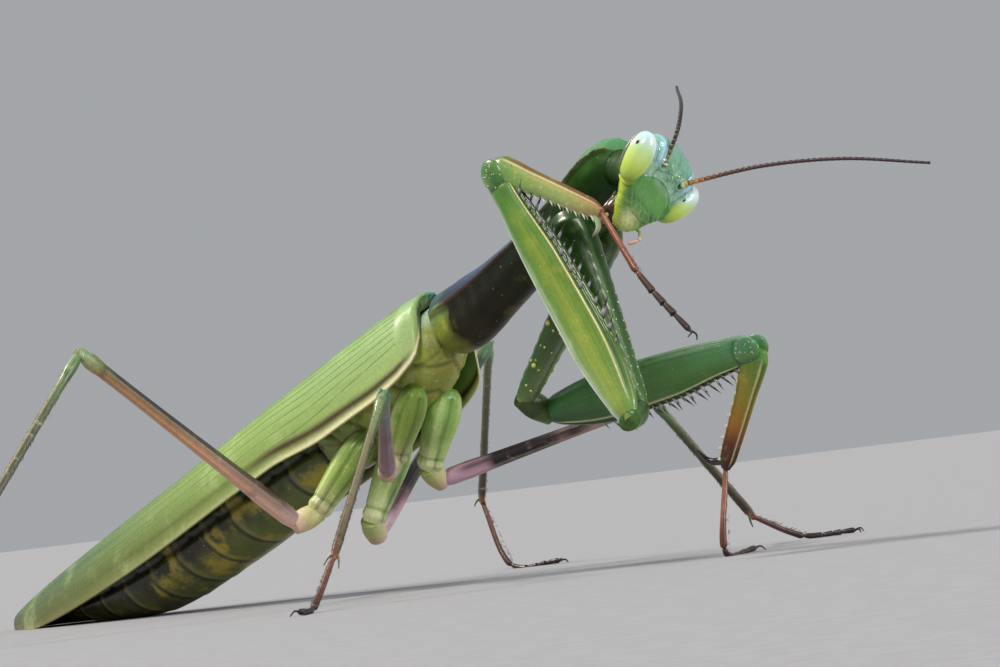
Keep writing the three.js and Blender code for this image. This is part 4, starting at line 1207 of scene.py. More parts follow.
def knuckle(leg, stations, sink, **grid):
    """The hinge piece, sunk a little into both neighbours."""
    axis = unit(leg.hinge - leg.knuckle)
    ends = leg.knuckle - sink * axis, leg.hinge + sink * axis
    return limb(ends, leg.dorsal, stations, outside=leg.outside, **grid)

# %% Make the fore legs
# finishes of coxa, femur and tibia, then the claw's horn, reach and radius
FORE_SIDES = {
    "right": (fore_coxa_right_cuticle, fore_femur_right_cuticle, fore_tibia_right_cuticle, pale_claw_horn,
              1.25, 0.19),
    "left": (fore_coxa_left_cuticle, fore_femur_left_cuticle, fore_tibia_left_cuticle, claw_horn,
             1.85, 0.24),
}
for leg in FORE_LEGS:
    coxa_cuticle, femur_cuticle, tibia_cuticle, horn, reach, radius = FORE_SIDES[leg.side_name]
    coxa = limb((leg.hip, leg.knuckle), leg.dorsal, FORE_COXA[leg.side_name], sides=64, rings=130,
                carve=carve_fore_coxa, outside=leg.outside)
    leg_piece(leg, "coxa", [coxa], coxa_cuticle)
    leg_piece(leg, "trochanter", [knuckle(leg, TROCHANTER, 0.3, sides=40, rings=40)], coxa_cuticle)
    femur = limb((leg.hinge, leg.knee), leg.dorsal, FORE_FEMUR, sides=132, rings=220,
                 carve=carve_fore_femur, outside=leg.outside, square=1.9)
    leg_piece(leg, "femur", [femur, *knee_lobes(leg, *FORE_LOBE)], femur_cuticle)
    tibia = limb((leg.knee, leg.ankle), leg.shin_dorsal, FORE_TIBIA, sides=72, rings=130,
                 carve=carve_fore_tibia, outside=leg.outside)
    leg_piece(leg, "tibia", [tibia], tibia_cuticle)
    root = leg.ankle - 0.35 * leg.shin_axis - 0.15 * leg.shin_dorsal
    hook = hooked(root, root + 0.45 * leg.shin_axis - 0.5 * reach * leg.shin_dorsal,
                  root + 0.25 * leg.shin_axis - reach * leg.shin_dorsal, radius,
                  np.cross(leg.shin_axis, leg.shin_dorsal), sides=24, rings=60)
    piece(f"fore_claw_{leg.side_name}", [hook], horn)
    leg_foot(leg, fore_foot_cuticle)

# %% [markdown]
# ### Walking legs
# Four slender legs carry the body. Their femora have fine keels along the length, their
# knees a pair of lobes, and their shins end in two spurs above the foot.

# %% Carve the walking legs
WALK_COXA = [
    (0, 0.4, 0.5), (0.08, 0.7, 0.86), (0.3, 0.9, 1.08), (0.75, 0.7, 0.8), (0.95, 0.6, 0.66), (1, 0.48, 0.5),
]
WALK_TROCHANTER = [(0, 0.5, 0.55), (0.5, 0.6, 0.66), (1, 0.5, 0.56)]
WALK_FEMUR = [
    (0, 0.34, 0.38), (0.06, 0.47, 0.52), (0.3, 0.38, 0.42), (0.85, 0.29, 0.32), (0.95, 0.38, 0.43),
    (1, 0.22, 0.22),
]
WALK_TIBIA = [
    (0, 0.2, 0.22), (0.06, 0.31, 0.33), (0.14, 0.23, 0.25), (0.5, 0.21, 0.23), (0.93, 0.23, 0.25),
    (1, 0.16, 0.16),
]
HIND_STOUTNESS = 1.06


def carve_walking_femur(t, angle):
    a = np.abs(angle)
    middle = step_up(t, 0.05, 0.15) * step_up(t, 0.95, 0.85)
    keels = (bump(a, 28, 7) + bump(a, 90, 7) + bump(a, 150, 7)) * middle
    groove = bump(t, 0.9, 0.012)
    dark = bump(a, 26, 28) * middle * 0.8
    # The second mark is a dark band along the back, with painted shade in the groove near the knee.
    return 0.04 * keels - 0.03 * groove, three(bump(a, 95, 10) * 0.3 * middle,
                                               np.clip(dark + 0.4 * groove, 0, 0.8))


def carve_shin(t, angle):
    a = np.abs(angle)
    return 0.03 * (bump(a, 30, 10) + bump(a, 120, 10)) * step_up(t, 0.08, 0.2), three(0 * t)


def carve_hip(t, angle):
    a = np.abs(angle)
    middle = step_up(t, 0.02, 0.12)
    keels = bump(a, 38, 12) + bump(a, 112, 12)
    furrow = bump(a, 74, 10) + bump(a, 150, 8)
    push = (0.07 * keels - 0.1 * furrow) * middle + 0.06 * bump(t, 0.92, 0.03) - 0.05 * bump(t, 0.84, 0.025)
    # The first mark is a painted highlight on the keels; the second darkens the furrows and the groove near
    # the end with painted shade.
    dark = np.clip(furrow * middle * 0.5 + bump(t, 0.84, 0.02) * 0.4, 0, 0.8)
    return push, three(keels * middle * 0.45, dark)


def spur(leg, turn):
    """One of the two thorns above a foot."""
    shin_across = np.cross(leg.shin_axis, leg.shin_dorsal)

    def step(root, ahead, out, down):
        return root + ahead * leg.shin_axis + turn * out * shin_across - down * leg.shin_dorsal
    root = step(leg.ankle, -0.35, 0.12, 0.05)
    return hooked(root, step(root, 0.35, 0.18, 0.12), step(root, 0.75, 0.26, 0.2), 0.08, leg.shin_dorsal,
                  sides=10, rings=12)

# %% Make the walking legs
for leg in WALKING_LEGS:
    stout = HIND_STOUTNESS if leg.pair == "hind" else 1.0
    hip_axis = unit(leg.knuckle - leg.hip)
    coxa = limb((leg.hip - 0.5 * hip_axis - 0.35 * leg.outside, leg.knuckle), leg.dorsal, WALK_COXA,
                sides=72, rings=90, carve=carve_hip, outside=leg.outside)
    leg_piece(leg, "coxa", [coxa], hip_cuticle)
    leg_piece(leg, "trochanter", [knuckle(leg, WALK_TROCHANTER, 0.25, sides=32, rings=30)], knuckle_cuticle)
    femur = limb((leg.hinge, leg.knee), leg.dorsal, [(t, w * stout, h * stout) for t, w, h in WALK_FEMUR],
                 sides=64, rings=150, carve=carve_walking_femur, outside=leg.outside)
    leg_piece(leg, "femur", [femur, *knee_lobes(leg, *WALKING_LOBE)],
              walking_femur_cuticle[f"{leg.pair}_{leg.side_name}"])
    shin = limb((leg.knee, leg.ankle), leg.shin_dorsal, WALK_TIBIA, sides=40, rings=120, carve=carve_shin,
                outside=leg.outside)
    leg_piece(leg, "tibia", [shin, spur(leg, -1), spur(leg, 1)], walking_tibia_cuticle)
    leg_foot(leg, foot_cuticle)

# %% [markdown]
# ## Head
# A mantis has a triangular face. The eyes stand out at the upper corners and further
# forward than the flat face between them; below the feelers lies the frontal shield, a
# low plate with a seam round it, then the clypeus and the upper lip, and a pale ridge runs
# down each cheek to the mouth. Two seams climb from the feelers to the crown on each side.
# The skin is one finely divided ball pressed to the head's outline, flattened in front and
# then worked with small reliefs, each placed by its distance across (y) and up (z) on the
# face.

# %% Measure the head
CROWN, CHIN = 2.33, 2.95
EYE = SimpleNamespace(middle=(0.2, 2.48, 0.28), radii=np.array([0.8, 0.7, 1.38]), lean=18)
FACE_PROFILE = [
    (-3.0, 0.3), (-2.75, 0.4), (-2.4, 0.5), (-1.6, 0.56), (-0.4, 0.6), (0.4, 0.66), (1.0, 0.74), (1.6, 0.66),
    (2.0, 0.42), (2.35, 0.05),
]
FACE_WIDTH = [
    (-2.95, 2.3), (-2.8, 2.0), (-2.6, 1.7), (-2.38, 1.6), (-1.7, 1.72), (-1.1, 2.02), (-0.5, 2.28), (0, 2.5),
    (0.8, 2.75), (1.5, 3.1), (1.95, 3.5), (2.33, 3.7),
]
SKULL_DEPTH = [(-2.95, 0.6), (-2.3, 0.68), (-1.5, 0.82), (-0.5, 1.05), (0.5, 1.28), (1.5, 1.3), (2.33, 1.25)]
SNOUT = 1.6
SOFTNESS = 0.09  # of the bend from the flat face to the sides
HEAD_RADII = np.array([1.2, 2.75, 2.5])
SKIN_DIVISIONS = 7
SOCKET = (1.05, 0.93)
OCELLI = ((0.04, 0.8, 0.13), (-0.3, 1.1, 0.13), (0.38, 1.08, 0.13))


def eye_axes(side):
    forward, left, up = np.eye(3)
    return np.array([forward, turned(left, forward, -EYE.lean * side), turned(up, forward, -EYE.lean * side)])


def eye_middle(side):
    forward, out, up = EYE.middle
    return np.array([forward, side * out, up])


def from_eye(p, side):
    """How far a point of the head lies from an eye, 1 on the eye's own surface."""
    return np.linalg.norm((p - eye_middle(side)) @ eye_axes(side).T / EYE.radii, axis=-1)


def plate(y, z, centre, half_width, half_height, power=2.6):
    """1 inside a rounded plate of the face, 0 outside; and 1 on its seam."""
    r = (np.abs(y / half_width) ** power + np.abs((z - centre) / half_height) ** power) ** (1 / power)
    return step_up(r, 1.0, 0.8), bump(r, 1.03, 0.055)

# %% Press the head's skin
ball = bmesh.new()
bmesh.ops.create_icosphere(ball, subdivisions=SKIN_DIVISIONS, radius=1)
sphere = np.array([v.co for v in ball.verts])
head_faces = np.array([[v.index for v in f.verts] for f in ball.faces])
ball.free()
x, y, z = sphere.T
FZ = z * np.where(z > 0, CROWN, CHIN)
FY = y * flow(FACE_WIDTH, FZ)
FX = x * np.where(x > 0, SNOUT, flow(SKULL_DEPTH, FZ))
skin = np.stack([FX, FY, FZ], 1)
face = flow(FACE_PROFILE, FZ)
flattened = -SOFTNESS * np.log(np.exp(-np.clip(FX, -2, 2) / SOFTNESS) + np.exp(-face / SOFTNESS))
front = flattened * (FX > 0) + FX * (FX <= 0)
facing = step_up(x, 0.05, 0.35)
out = np.abs(FY)

# %% Place the reliefs of the face
shield, shield_seam = plate(FY, FZ + 0.1 * FY ** 2, -0.5, 1.7, 0.78)
shield_brow = shield_seam * step_up(FZ, -0.85, -0.3)
shield_tint = plate(FY, FZ + 0.08 * FY ** 2, -0.5, 2.1, 0.95, power=2)[0]
shield_dip = bump(np.hypot(FY / 1.2, (FZ + 0.6) / 0.5), 0, 0.8)
clypeus, clypeus_seam = plate(FY, FZ, -1.62, 1.15, 0.32)
lip = plate(FY, FZ, -2.35, 1.0, 0.42, power=2.2)[0]
lip_tint = bump(np.hypot((FY + 0.25) / 0.8, (FZ + 2.35) / 0.6), 0, 0.85)
cheek_line = 2.12 - 0.62 * np.clip((-0.5 - FZ) / 2.0, 0, 1.2)
cheek = bump(out, cheek_line, 0.12) * step_up(FZ, -0.35, -0.75) * step_up(FZ, -2.95, -2.5)
side_wall = bump(front, -0.05, 0.26) * step_up(FZ, -0.4, -0.8) * step_up(FZ, -3.1, -2.6)
vertex_seam = bump(out, 1.1 + 0.45 * (FZ - 1.05), 0.06) * step_up(FZ, 1.2, 1.4)
vertex_stripe = ((bump(out, 1.52 + 0.33 * (FZ - 0.7), 0.16) + 0.7 * bump(out, 1.2 + 0.3 * (FZ - 0.7), 0.07))
                 * step_up(FZ, 0.5, 1.0))
socket_way = np.hypot(out - SOCKET[0], FZ - SOCKET[1])
socket_rim = bump(socket_way, 0.30, 0.06)
socket_pit = step_up(socket_way, 0.26, 0.12)
ocellus_seat = sum(bump(np.hypot(FY - a, FZ - b), r + 0.05, 0.08) for a, b, r in OCELLI)
mid_line = bump(FY, 0, 0.035) * step_up(FZ, 1.55, 1.7)
face_points = np.stack([front, FY, FZ], 1)
near_eye = np.minimum(from_eye(face_points, -1), from_eye(face_points, 1))
eye_rim = bump(near_eye, 1.10, 0.055)
eye_furrow = bump(near_eye, 1.24, 0.06)
subantennal = bump(out, 1.2 + 0.12 * (FZ - 0.9), 0.07) * step_up(FZ, 0.7, 0.45) * step_up(FZ, -0.2, 0.1)
antennal_field = (bump(FZ, 0.75, 0.5) * step_up(out, 1.6, 1.1) + 0.35) * (1 - 0.5 * shield)
fine_folds = np.sin(FY * 31 + 2.5 * np.sin(FZ * 17)) * np.sin(FZ * 27 + 2 * np.sin(FY * 13))

# %% Work the reliefs into the skin and note the marks
relief = (0.02 * shield + 0.07 * shield_brow - 0.05 * shield_dip + 0.02 * clypeus - 0.015 * clypeus_seam
          + 0.03 * lip + 0.09 * cheek - 0.05 * vertex_seam + 0.03 * vertex_stripe + 0.09 * socket_rim
          - 0.1 * socket_pit + 0.1 * ocellus_seat - 0.04 * mid_line + 0.10 * eye_rim - 0.05 * eye_furrow
          - 0.05 * subantennal)
relief += 0.02 * np.sin(FY * 9 + 2 * np.sin(FZ * 5)) * np.sin(FZ * 8 + FY * 3) * (1 - shield)
relief += 0.034 * fine_folds * antennal_field
normal = skin / HEAD_RADII ** 2
normal /= np.linalg.norm(normal, axis=1)[:, None]
normal = normal * (1 - facing[:, None]) + np.array([1.0, 0, 0]) * facing[:, None]
skin[:, 0] = front
skin += normal * relief[:, None]
head_chart = np.stack([(FY / 2.75 + 1) / 2, FY / 2.75, FZ / 2.6], 1)
yellow = np.clip(cheek * 0.6 + side_wall * 0.85 + 0.4 * step_up(FZ, -2.4, -2.8), 0, 1)
# Seams are darkened, and the furrows round the eyes, the feeler pits and the grooves under the feelers get
# painted shade.
seams_and_painted_shade = ((shield_seam - shield_brow) * 0.12 + vertex_seam * 0.6 + mid_line * 0.4 + eye_furrow * 0.35
              + subantennal * 0.4 + socket_pit * 0.5)
seams_and_painted_shade = np.clip(seams_and_painted_shade, 0, 0.8) * facing
head_marks = three(yellow, seams_and_painted_shade, lip_tint * facing * 0.85)
mottle = 0.5 + 0.42 * np.sin(FY * 3.1 + 1 + 2 * np.sin(FZ * 2.3)) * np.sin(FZ * 4.3 + FY)
# A painted pale blue highlight on the stripes beside the eyes and along the eyes' rims.
painted_blue_highlight = np.clip(vertex_stripe + eye_rim * 0.7, 0, 1) * step_up(FZ, -0.4, 0.6)
more_marks = three(shield_tint * facing * mottle, painted_blue_highlight, clypeus * facing * 0.3)

# %% [markdown]
# The face is leaf green, with teal on the crown, a deeper green shield, a painted pale blue
# highlight on the stripes beside the eyes and round the eyes' rims, yellow-green cheeks and a
# straw-pink lip. The recipe for cuticle takes three more marks here.

# %% Finish the head
# The fifth mark colour is the painted pale blue highlight.
head_cuticle = cuticle("cuticle_face_glossy", """
    -1: 0 #7fa034, 0.5 #7c9e34, 1 #4a7a22
    -0.7: 0 #42781c, 0.5 #386c16, 1 #24540c
    -0.12: 0 #478a26, 0.3 #4c9030, 0.55 #6aa648, 1 #4c9030
    0.1: 0 #94bc9c, 0.5 #9cc2a0, 1 #84b494
    0.4: 0 #86b8a0, 0.5 #80b692, 1 #74b098
    0.75: 0 #80b09c, 0.5 #72ac8a, 1 #74b498""",
    clouds=[("#a5cc94", 0.9, 0.55, 0.7, 0.35), ("#3f7430", 1.3, 0.55, 0.72, 0.35)],
    freckles=[("#cfe0b4", 0.5, 0.09, 0.45)],
    marks=("#bccf3e", "#24481c", "#d6d992", "#509436", "#b4daf0", "#5f9a30"), roughness=0.14, coat=1.0,
    film=0.04, glow=0.08, lift=0.006, wander=0.06)

head_mesh = new_mesh("head_skin", placed(FACE, HEAD, skin), (), head_faces.tolist(), chart=head_chart,
                     marks=head_marks, more_marks=more_marks)
finish_piece(shown("head_skin", head_mesh), head_cuticle, ["head"])

# %% [markdown]
# ## Eyes
# A compound eye is a dome of thousands of lenses over a pale pigment. It reads as a satin
# egg, paler at the top and through green to yellow-green below, with a painted mint-white
# sheen of the sky along the top and the front edge, and one small dark spot, the false
# pupil. A cup of cuticle holds its back, with a lilac brown rim. The dome is an ellipsoid;
# its facets are real ones about 0.03 mm across, drawn as a honeycomb of cells 0.06 mm wide
# so that they can just be seen.

# %% Mix the cornea
CORNEA_IOR = 1.5
FACET = 0.06
EYE_STOPS = [
    (0.06, "#98b238"), (0.3, "#b6d04a"), (0.5, "#c2da6a"), (0.68, "#b9d68e"), (0.84, "#b6d6ba"),
    (1.0, "#bcd8dc"),
]

cornea, tree = new_material("cornea_compound_eye")
place = result(tree, "ShaderNodeTexCoord", None, "Object")
_, _, level = split(tree, kept_on_skin(tree, "chart"))
spot, edge, back = split(tree, kept_on_skin(tree, "marks"))
drift = noise(tree, place, 900.0, 2.0)
wavy = reckoned(tree, "MULTIPLY_ADD", drift, 0.12, ranged(tree, level, -1.0, 1.0))
colour = graded(tree, wavy, EYE_STOPS)
# The edge mark is a painted sheen of the sky, in mint white.
for mask, pigment in ((edge, "#e4f2ee"), (back, "#7f8a58"), (spot, "#0c120c")):
    colour = laid(tree, mask, colour, pigment)
facets = result(tree, "ShaderNodeTexVoronoi", {"Vector": place, "Scale": 1000 / FACET}, "Distance")
dome = result(tree, "ShaderNodeBump", {"Height": facets, "Strength": 0.12, "Distance": 0.004 * MM},
              invert=True)
close_material(tree, Base_Color=colour, Roughness=0.2, IOR=CORNEA_IOR, Normal=dome, Coat_Weight=0.9,
               Coat_Roughness=0.05, Subsurface_Weight=0.12, Subsurface_Scale=0.5 * MM,
               Subsurface_Radius=(0.8, 1.0, 0.5))

# %% Make the eyes
PUPIL = {-1: (0.06, -0.885, 0.46), 1: (0.7, -0.71, 0.08)}
EYE_ROWS = 110


def eye_ball(side):
    """The dome, with its poles at the front and at the back."""
    b = np.linspace(0.01, np.pi - 0.01, EYE_ROWS)[:, None]
    a = np.linspace(0, 2 * np.pi, 2 * EYE_ROWS, endpoint=False)[None]
    unit_ball = np.stack(np.broadcast_arrays(np.cos(b), np.sin(b) * np.sin(a), np.sin(b) * np.cos(a)), -1)
    squared = np.sign(unit_ball) * np.abs(unit_ball) ** 0.92
    taper = 1 - 0.12 * np.clip(-squared[..., 2:], 0, 1)
    shape = squared * EYE.radii * np.concatenate([taper, taper, np.ones_like(taper)], -1)
    place = eye_middle(side) + shape @ eye_axes(side)
    pupil = unit(PUPIL[side])
    away = np.arccos(np.clip(unit_ball @ pupil, -1, 1))
    spot = step_up(away, 0.12 if side < 0 else 0.085, 0.07)
    inner = unit_ball[..., 1] * -side
    # A painted sheen of the sky: mint white along the top, the inner and the front edge.
    painted_sky_sheen = step_up(inner * 0.5 + unit_ball[..., 0] * 0.4 + unit_ball[..., 2] * 0.72, 0.45, 0.95) * 0.9
    back = step_up(unit_ball[..., 0], -0.5, -0.8) * 0.7
    chart = np.stack([(unit_ball[..., 0] + 1) / 2, inner, unit_ball[..., 2]], -1)
    return shell(placed(FACE, HEAD, place), chart, three(spot, painted_sky_sheen, back))


CUP_FRONT, CUP_BACK = np.linspace(-0.42, -0.56, 10), np.linspace(-0.58, -0.985, 16)
CUP_ROWS = len(CUP_FRONT) + len(CUP_BACK)


def eye_cup(side):
    """Cuticle behind the eye, with a beaded edge."""
    depth = np.concatenate([CUP_FRONT, CUP_BACK])[:, None]
    bead = 0.05 * bump(np.arange(CUP_ROWS), 4.5, 2.6)
    a = np.linspace(0, 2 * np.pi, 120, endpoint=False)
    outer = step_up(np.sin(a) * side, -0.3, 0.9) * step_up(np.cos(a), -0.9, -0.4)
    depth = depth + 0.05 * outer * (depth + 0.985) / 0.565
    radius = np.sqrt(1 - depth ** 2)
    rings = np.stack(np.broadcast_arrays(depth * 1.03, radius * np.sin(a), radius * np.cos(a)),
                     -1) * EYE.radii
    swell = np.stack(np.broadcast_arrays(0 * radius, np.sin(a), np.cos(a)), -1)
    rings = rings + swell * (0.015 + bead)[:, None, None]
    rim = np.broadcast_to(bump(np.arange(CUP_ROWS), 4.5, 3.4)[:, None], rings.shape[:2])
    chart = np.stack(np.broadcast_arrays(0.5, np.sin(a), np.cos(a)[None] * 0.8 + 0 * radius), -1)
    return shell(placed(FACE, HEAD, eye_middle(side) + rings @ eye_axes(side)), chart, three(rim))


cup_cuticle = cuticle("cuticle_eye_cup", """
    -1: 0 #66802c, 1 #66802c
    0.5: 0 #4f6a4e, 1 #4f6a4e""",
    marks=("#7a5f68",), roughness=0.3)
for name, side in (("right", -1), ("left", 1)):
    piece(f"eye_dome_{name}", [eye_ball(side)], cornea, [f"eye_{name}"])
    piece(f"eye_cup_{name}", [eye_cup(side)], cup_cuticle)

# %% [markdown]
# Three simple eyes, the ocelli, sit between the feelers as glassy beads.

# %% Set the ocelli and the feeler sockets
ocellus_glass = cuticle("ocellus_lens", """
    -1: 0 #7fae66, 1 #7fae66
    1: 0 #9cc284, 1 #9cc284""",
    roughness=0.08, coat=0.9, glow=0.3, lift=0.001)
beads = []
for across, up, radius in OCELLI:
    centre = head_place(flow(FACE_PROFILE, up) + 0.03, across, up)
    beads.append(oval(centre, HEAD, (radius * 0.85, radius, radius), sides=28, rings=19))
piece("ocelli", beads, ocellus_glass)
socket_cuticle = cuticle("cuticle_feeler_root", "-1: 0 #8fae74, 0.5 #b0a468, 1 #8a5a34",
    marks=("#dfe6c2", "#4a2c1c"), roughness=0.3)
ANTENNA = {  # length, heading and rise of each bend
    "left": [(4.2, -50, 6), (4.2, -50, -2), (4.2, -50, -10)],
    "right": [(1.6, -60, 60), (2.5, 30, 36), (5.7, 43, 16)],
}
SCAPE_SHARE = 0.055
SCAPE = [(0, 0.2, 0.2), (0.15, 0.22, 0.22), (0.5, 0.19, 0.19), (0.8, 0.16, 0.16), (1, 0.1, 0.1)]


def carve_scape(t, angle):
    waist = bump(t, 0.62, 0.07)
    return -0.07 * waist, three(bump(t, 0.2, 0.1) * 0.8, waist * 0.8)


antenna_lines = {}
for name, bends in ANTENNA.items():
    side = 1 if name == "left" else -1
    knots = [head_place(0.72, side * SOCKET[0], SOCKET[1])]
    for length, heading, rise in bends:
        knots.append(knots[-1] + length * direction(heading, rise))
    path = antenna_lines[name] = smooth_path(knots)
    root = limb(lambda t: path(t * SCAPE_SHARE), HEAD[1] + HEAD[2], SCAPE, sides=28, rings=44,
                carve=carve_scape, ends=0.2)
    piece(f"feeler_root_{name}", [root], socket_cuticle)

# %% [markdown]
# ## Feelers
# Past its root a feeler is a string of short, slightly conical beads. Geometry Nodes build
# it: the tree resamples the feeler's line at one bead's length, sets a tapered bead on
# each point along the tangent, and shrinks the beads towards the tip.

# %% Grow the feelers
bead_tree, entry = new_tree("feeler_beads", Bead_Length=0.00033, Bead_Radius=0.00013, Tip_Share=0.6)
line = result(bead_tree, "GeometryNodeMeshToCurve", {"Mesh": entry["Geometry"]})
spaced = result(bead_tree, "GeometryNodeResampleCurve", {"Curve": line, "Length": entry["Bead Length"]},
                mode="LENGTH")
along = result(bead_tree, "GeometryNodeSplineParameter", None, "Factor")
charted = stored(bead_tree, spaced, "chart", triple(bead_tree, along, 0.0, 0.5))
bead = result(bead_tree, "GeometryNodeMeshCone", {
    "Vertices": 12, "Side Segments": 2, "Fill Segments": 1, "Radius Bottom": entry["Bead Radius"],
    "Radius Top": reckoned(bead_tree, "MULTIPLY", entry["Bead Radius"], 1.28),
    "Depth": reckoned(bead_tree, "MULTIPLY", entry["Bead Length"], 1.06)})
small = ranged(bead_tree, along, 0.0, 1.0, 1.0, entry["Tip Share"])
tangent = result(bead_tree, "GeometryNodeInputTangent")
close_tree(bead_tree, entry, set_on_points(
    bead_tree, charted, bead, Rotation=aimed(bead_tree, tangent), Scale=triple(bead_tree, small, small, 1.0)))

feeler_cuticle = {
    "left": cuticle("cuticle_feeler_dark",
                    "-1: 0 #b07a3c, 0.05 #7a4a2c, 0.12 #4a2e28, 0.5 #3a2628, 1 #2c2024",
                    roughness=0.4, glow=0.0, wander=0.02),
    "right": cuticle("cuticle_feeler_black", "-1: 0 #6f6a44, 0.08 #3f3a2c, 0.2 #26201e, 1 #1c1818",
                     roughness=0.36, glow=0.0, wander=0.02),
}
LINE_STEPS = 80
for name, path in antenna_lines.items():
    thread = guide(f"feeler_line_{name}", path(np.linspace(0.05, 1, LINE_STEPS)), chain(0, LINE_STEPS))
    grow(f"feeler_{name}", bead_tree, thread, feeler_cuticle[name], [f"antenna_{name}"], "dark_brown",
         Bead_Length=0.3 * MM, Bead_Radius=0.105 * MM, Tip_Share=0.62)

# %% [markdown]
# ## Mouth and neck
# Behind the upper lip the mandibles close like a pair of dark-tipped shears, with the
# jointed palps beside them. The neck is a short sleeve of wrinkled membrane, coloured a
# near-black green as painted shade under the collar and the head, and darker still in its
# folds with painted shade.

# %% Make the mouthparts
jaw_horn = cuticle("mandible_horn", "-1: 0 #4a4a20, 0.3 #4a2a18, 0.7 #241008, 1 #0e0806",
    clouds=[("#2c1812", 0.5, 0.55, 0.7, 0.5)], roughness=0.26, coat=0.4, glow=0.03)
palp_cuticle = cuticle("cuticle_palp_pink", "-1: 0 #7a9a4c, 0.3 #8aa860, 0.5 #c29a86, 1 #cfa090",
    clouds=[("#e0c8b4", 0.3, 0.55, 0.7, 0.4)], marks=(None, "#6a4434", None), roughness=0.35, glow=0.15)


def head_limb(knots, up, stations, **grid):
    return limb(smooth_path([head_place(*p) for p in knots]), up, stations, **grid)


MANDIBLE = [(0, 0.35, 0.4), (0.5, 0.36, 0.42), (0.85, 0.24, 0.28), (1, 0.08, 0.1)]
MAXILLA = [(0, 0.3, 0.24), (0.6, 0.26, 0.22), (1, 0.08, 0.08)]
UNDER_LIP = [(0, 0.7, 0.2), (0.6, 0.5, 0.18), (1, 0.2, 0.1)]
jaws = []
for side in (-1, 1):
    jaws.append(head_limb(((-0.3, side * 0.7, -1.7), (-0.35, side * 0.68, -2.4), (-0.2, side * 0.15, -2.95)),
                          HEAD[0], MANDIBLE, sides=32, rings=50, ends=0.3))
    jaws.append(head_limb(((-0.75, side * 0.5, -1.8), (-0.75, side * 0.55, -2.5), (-0.6, side * 0.3, -3.0)),
                          HEAD[0], MAXILLA, sides=24, rings=40))
jaws.append(head_limb(((-0.95, 0, -1.5), (-0.95, 0, -2.3), (-0.8, 0, -2.9)), HEAD[0], UNDER_LIP,
                      sides=32, rings=40))
piece("mandibles", jaws, jaw_horn, ["mouthparts"])

PALP_SHARES = (0, 0.2, 0.42, 0.7, 1.0)
PALP_LINK = [(0, 0.06, 0.06), (0.15, 0.09, 0.09), (0.75, 0.11, 0.11), (1, 0.05, 0.05)]
BACK_PALP = [(0, 0.08, 0.08), (0.5, 0.1, 0.1), (1, 0.05, 0.05)]
PALP_KNOTS = {1: ((0.2, 0.95, -2.15), (0.75, 1.05, -2.4), (1.02, 0.86, -2.72), (0.7, 0.77, -3.2)),
              -1: ((-0.3, -0.7, -2.3), (-0.3, -0.85, -2.9), (-0.5, -0.9, -3.25), (-0.9, -0.95, -3.3))}
for name, side in (("right", -1), ("left", 1)):
    path = smooth_path([head_place(*p) for p in PALP_KNOTS[side]])
    links = [link_of(path, start, end, HEAD[1], PALP_LINK, sides=20, rings=26)
             for start, end in zip(PALP_SHARES, PALP_SHARES[1:])]
    links.append(head_limb(((-0.7, side * 0.35, -2.6), (-0.6, side * 0.45, -3.0), (-0.4, side * 0.4, -3.2)),
                           HEAD[1], BACK_PALP, sides=16, rings=30))
    piece(f"palps_{name}", links, palp_cuticle, [f"palp_{name}"])

# %% Make the neck
def carve_neck(t, angle):
    folds = 0.012 * np.sin(t * 2 * np.pi * 5 + 0.5 * np.sin(np.radians(angle) * 3))
    # The second mark is painted shade in the folds.
    return folds, three(0 * t, 0.4 * (0.5 - 0.5 * np.sin(t * 44)))


# The near-black green is painted shade, for the neck's place under the collar and the head.
shaded_neck_skin = cuticle("neck_membrane_painted_shade", """
    -1: 0 #16300a, 1 #22400f
    0.5: 0 #183510, 1 #2a5020""",
    marks=(None, "#0e1c08"), roughness=0.55, coat=0.02, glow=0.1, shine=0.15)
neck_ends = (fore_place(PRONOTUM_LENGTH - 0.8, 0, 0), head_place(-1.0, 0, 0.1))
neck = limb(neck_ends, FORE[2], [(0, 1.1, 1.0), (0.5, 1.02, 0.98), (1, 1.05, 1.0)], sides=60, rings=70,
            carve=carve_neck)
piece("neck_sleeve", [neck], shaded_neck_skin, ["neck"])

# %% [markdown]
# ## Spines
# Each grasping femur carries two rows of spines below, long and short in turn, four stout
# ones on the inner face, and the tibia carries two finer rows that close between them like
# the teeth of a trap. A spine is a lilac-grey cone with a black tip. One geometry tree sets
# a cone on every guide point, turned along the point's own aim and scaled by its size; it
# stores the height on the cone first, so that the tip can be told from the root.

# %% Build the spine tree
spine_tree, entry = new_tree("spines", Thickness=0.15)
cone = result(spine_tree, "GeometryNodeMeshCone", {
    "Vertices": 8, "Side Segments": 4, "Radius Top": 0.02, "Radius Bottom": 1.0, "Depth": 1.0})
_, _, height = split(spine_tree, result(spine_tree, "GeometryNodeInputPosition"))
charted = stored(spine_tree, cone, "chart", triple(spine_tree, height, 0.0, 0.5))
size = guide_value(spine_tree, "size", "FLOAT")
width = reckoned(spine_tree, "MULTIPLY", size, entry["Thickness"])
close_tree(spine_tree, entry, set_on_points(
    spine_tree, entry["Geometry"], charted, Rotation=aimed(spine_tree, guide_value(spine_tree, "aim")),
    Scale=triple(spine_tree, width, width, size)))

# %% [markdown]
# The roots of the spines lie on the limb's own section, so a row is given by its angle
# round the limb (0 is the back, 180 the gutter) and its shares of the length.

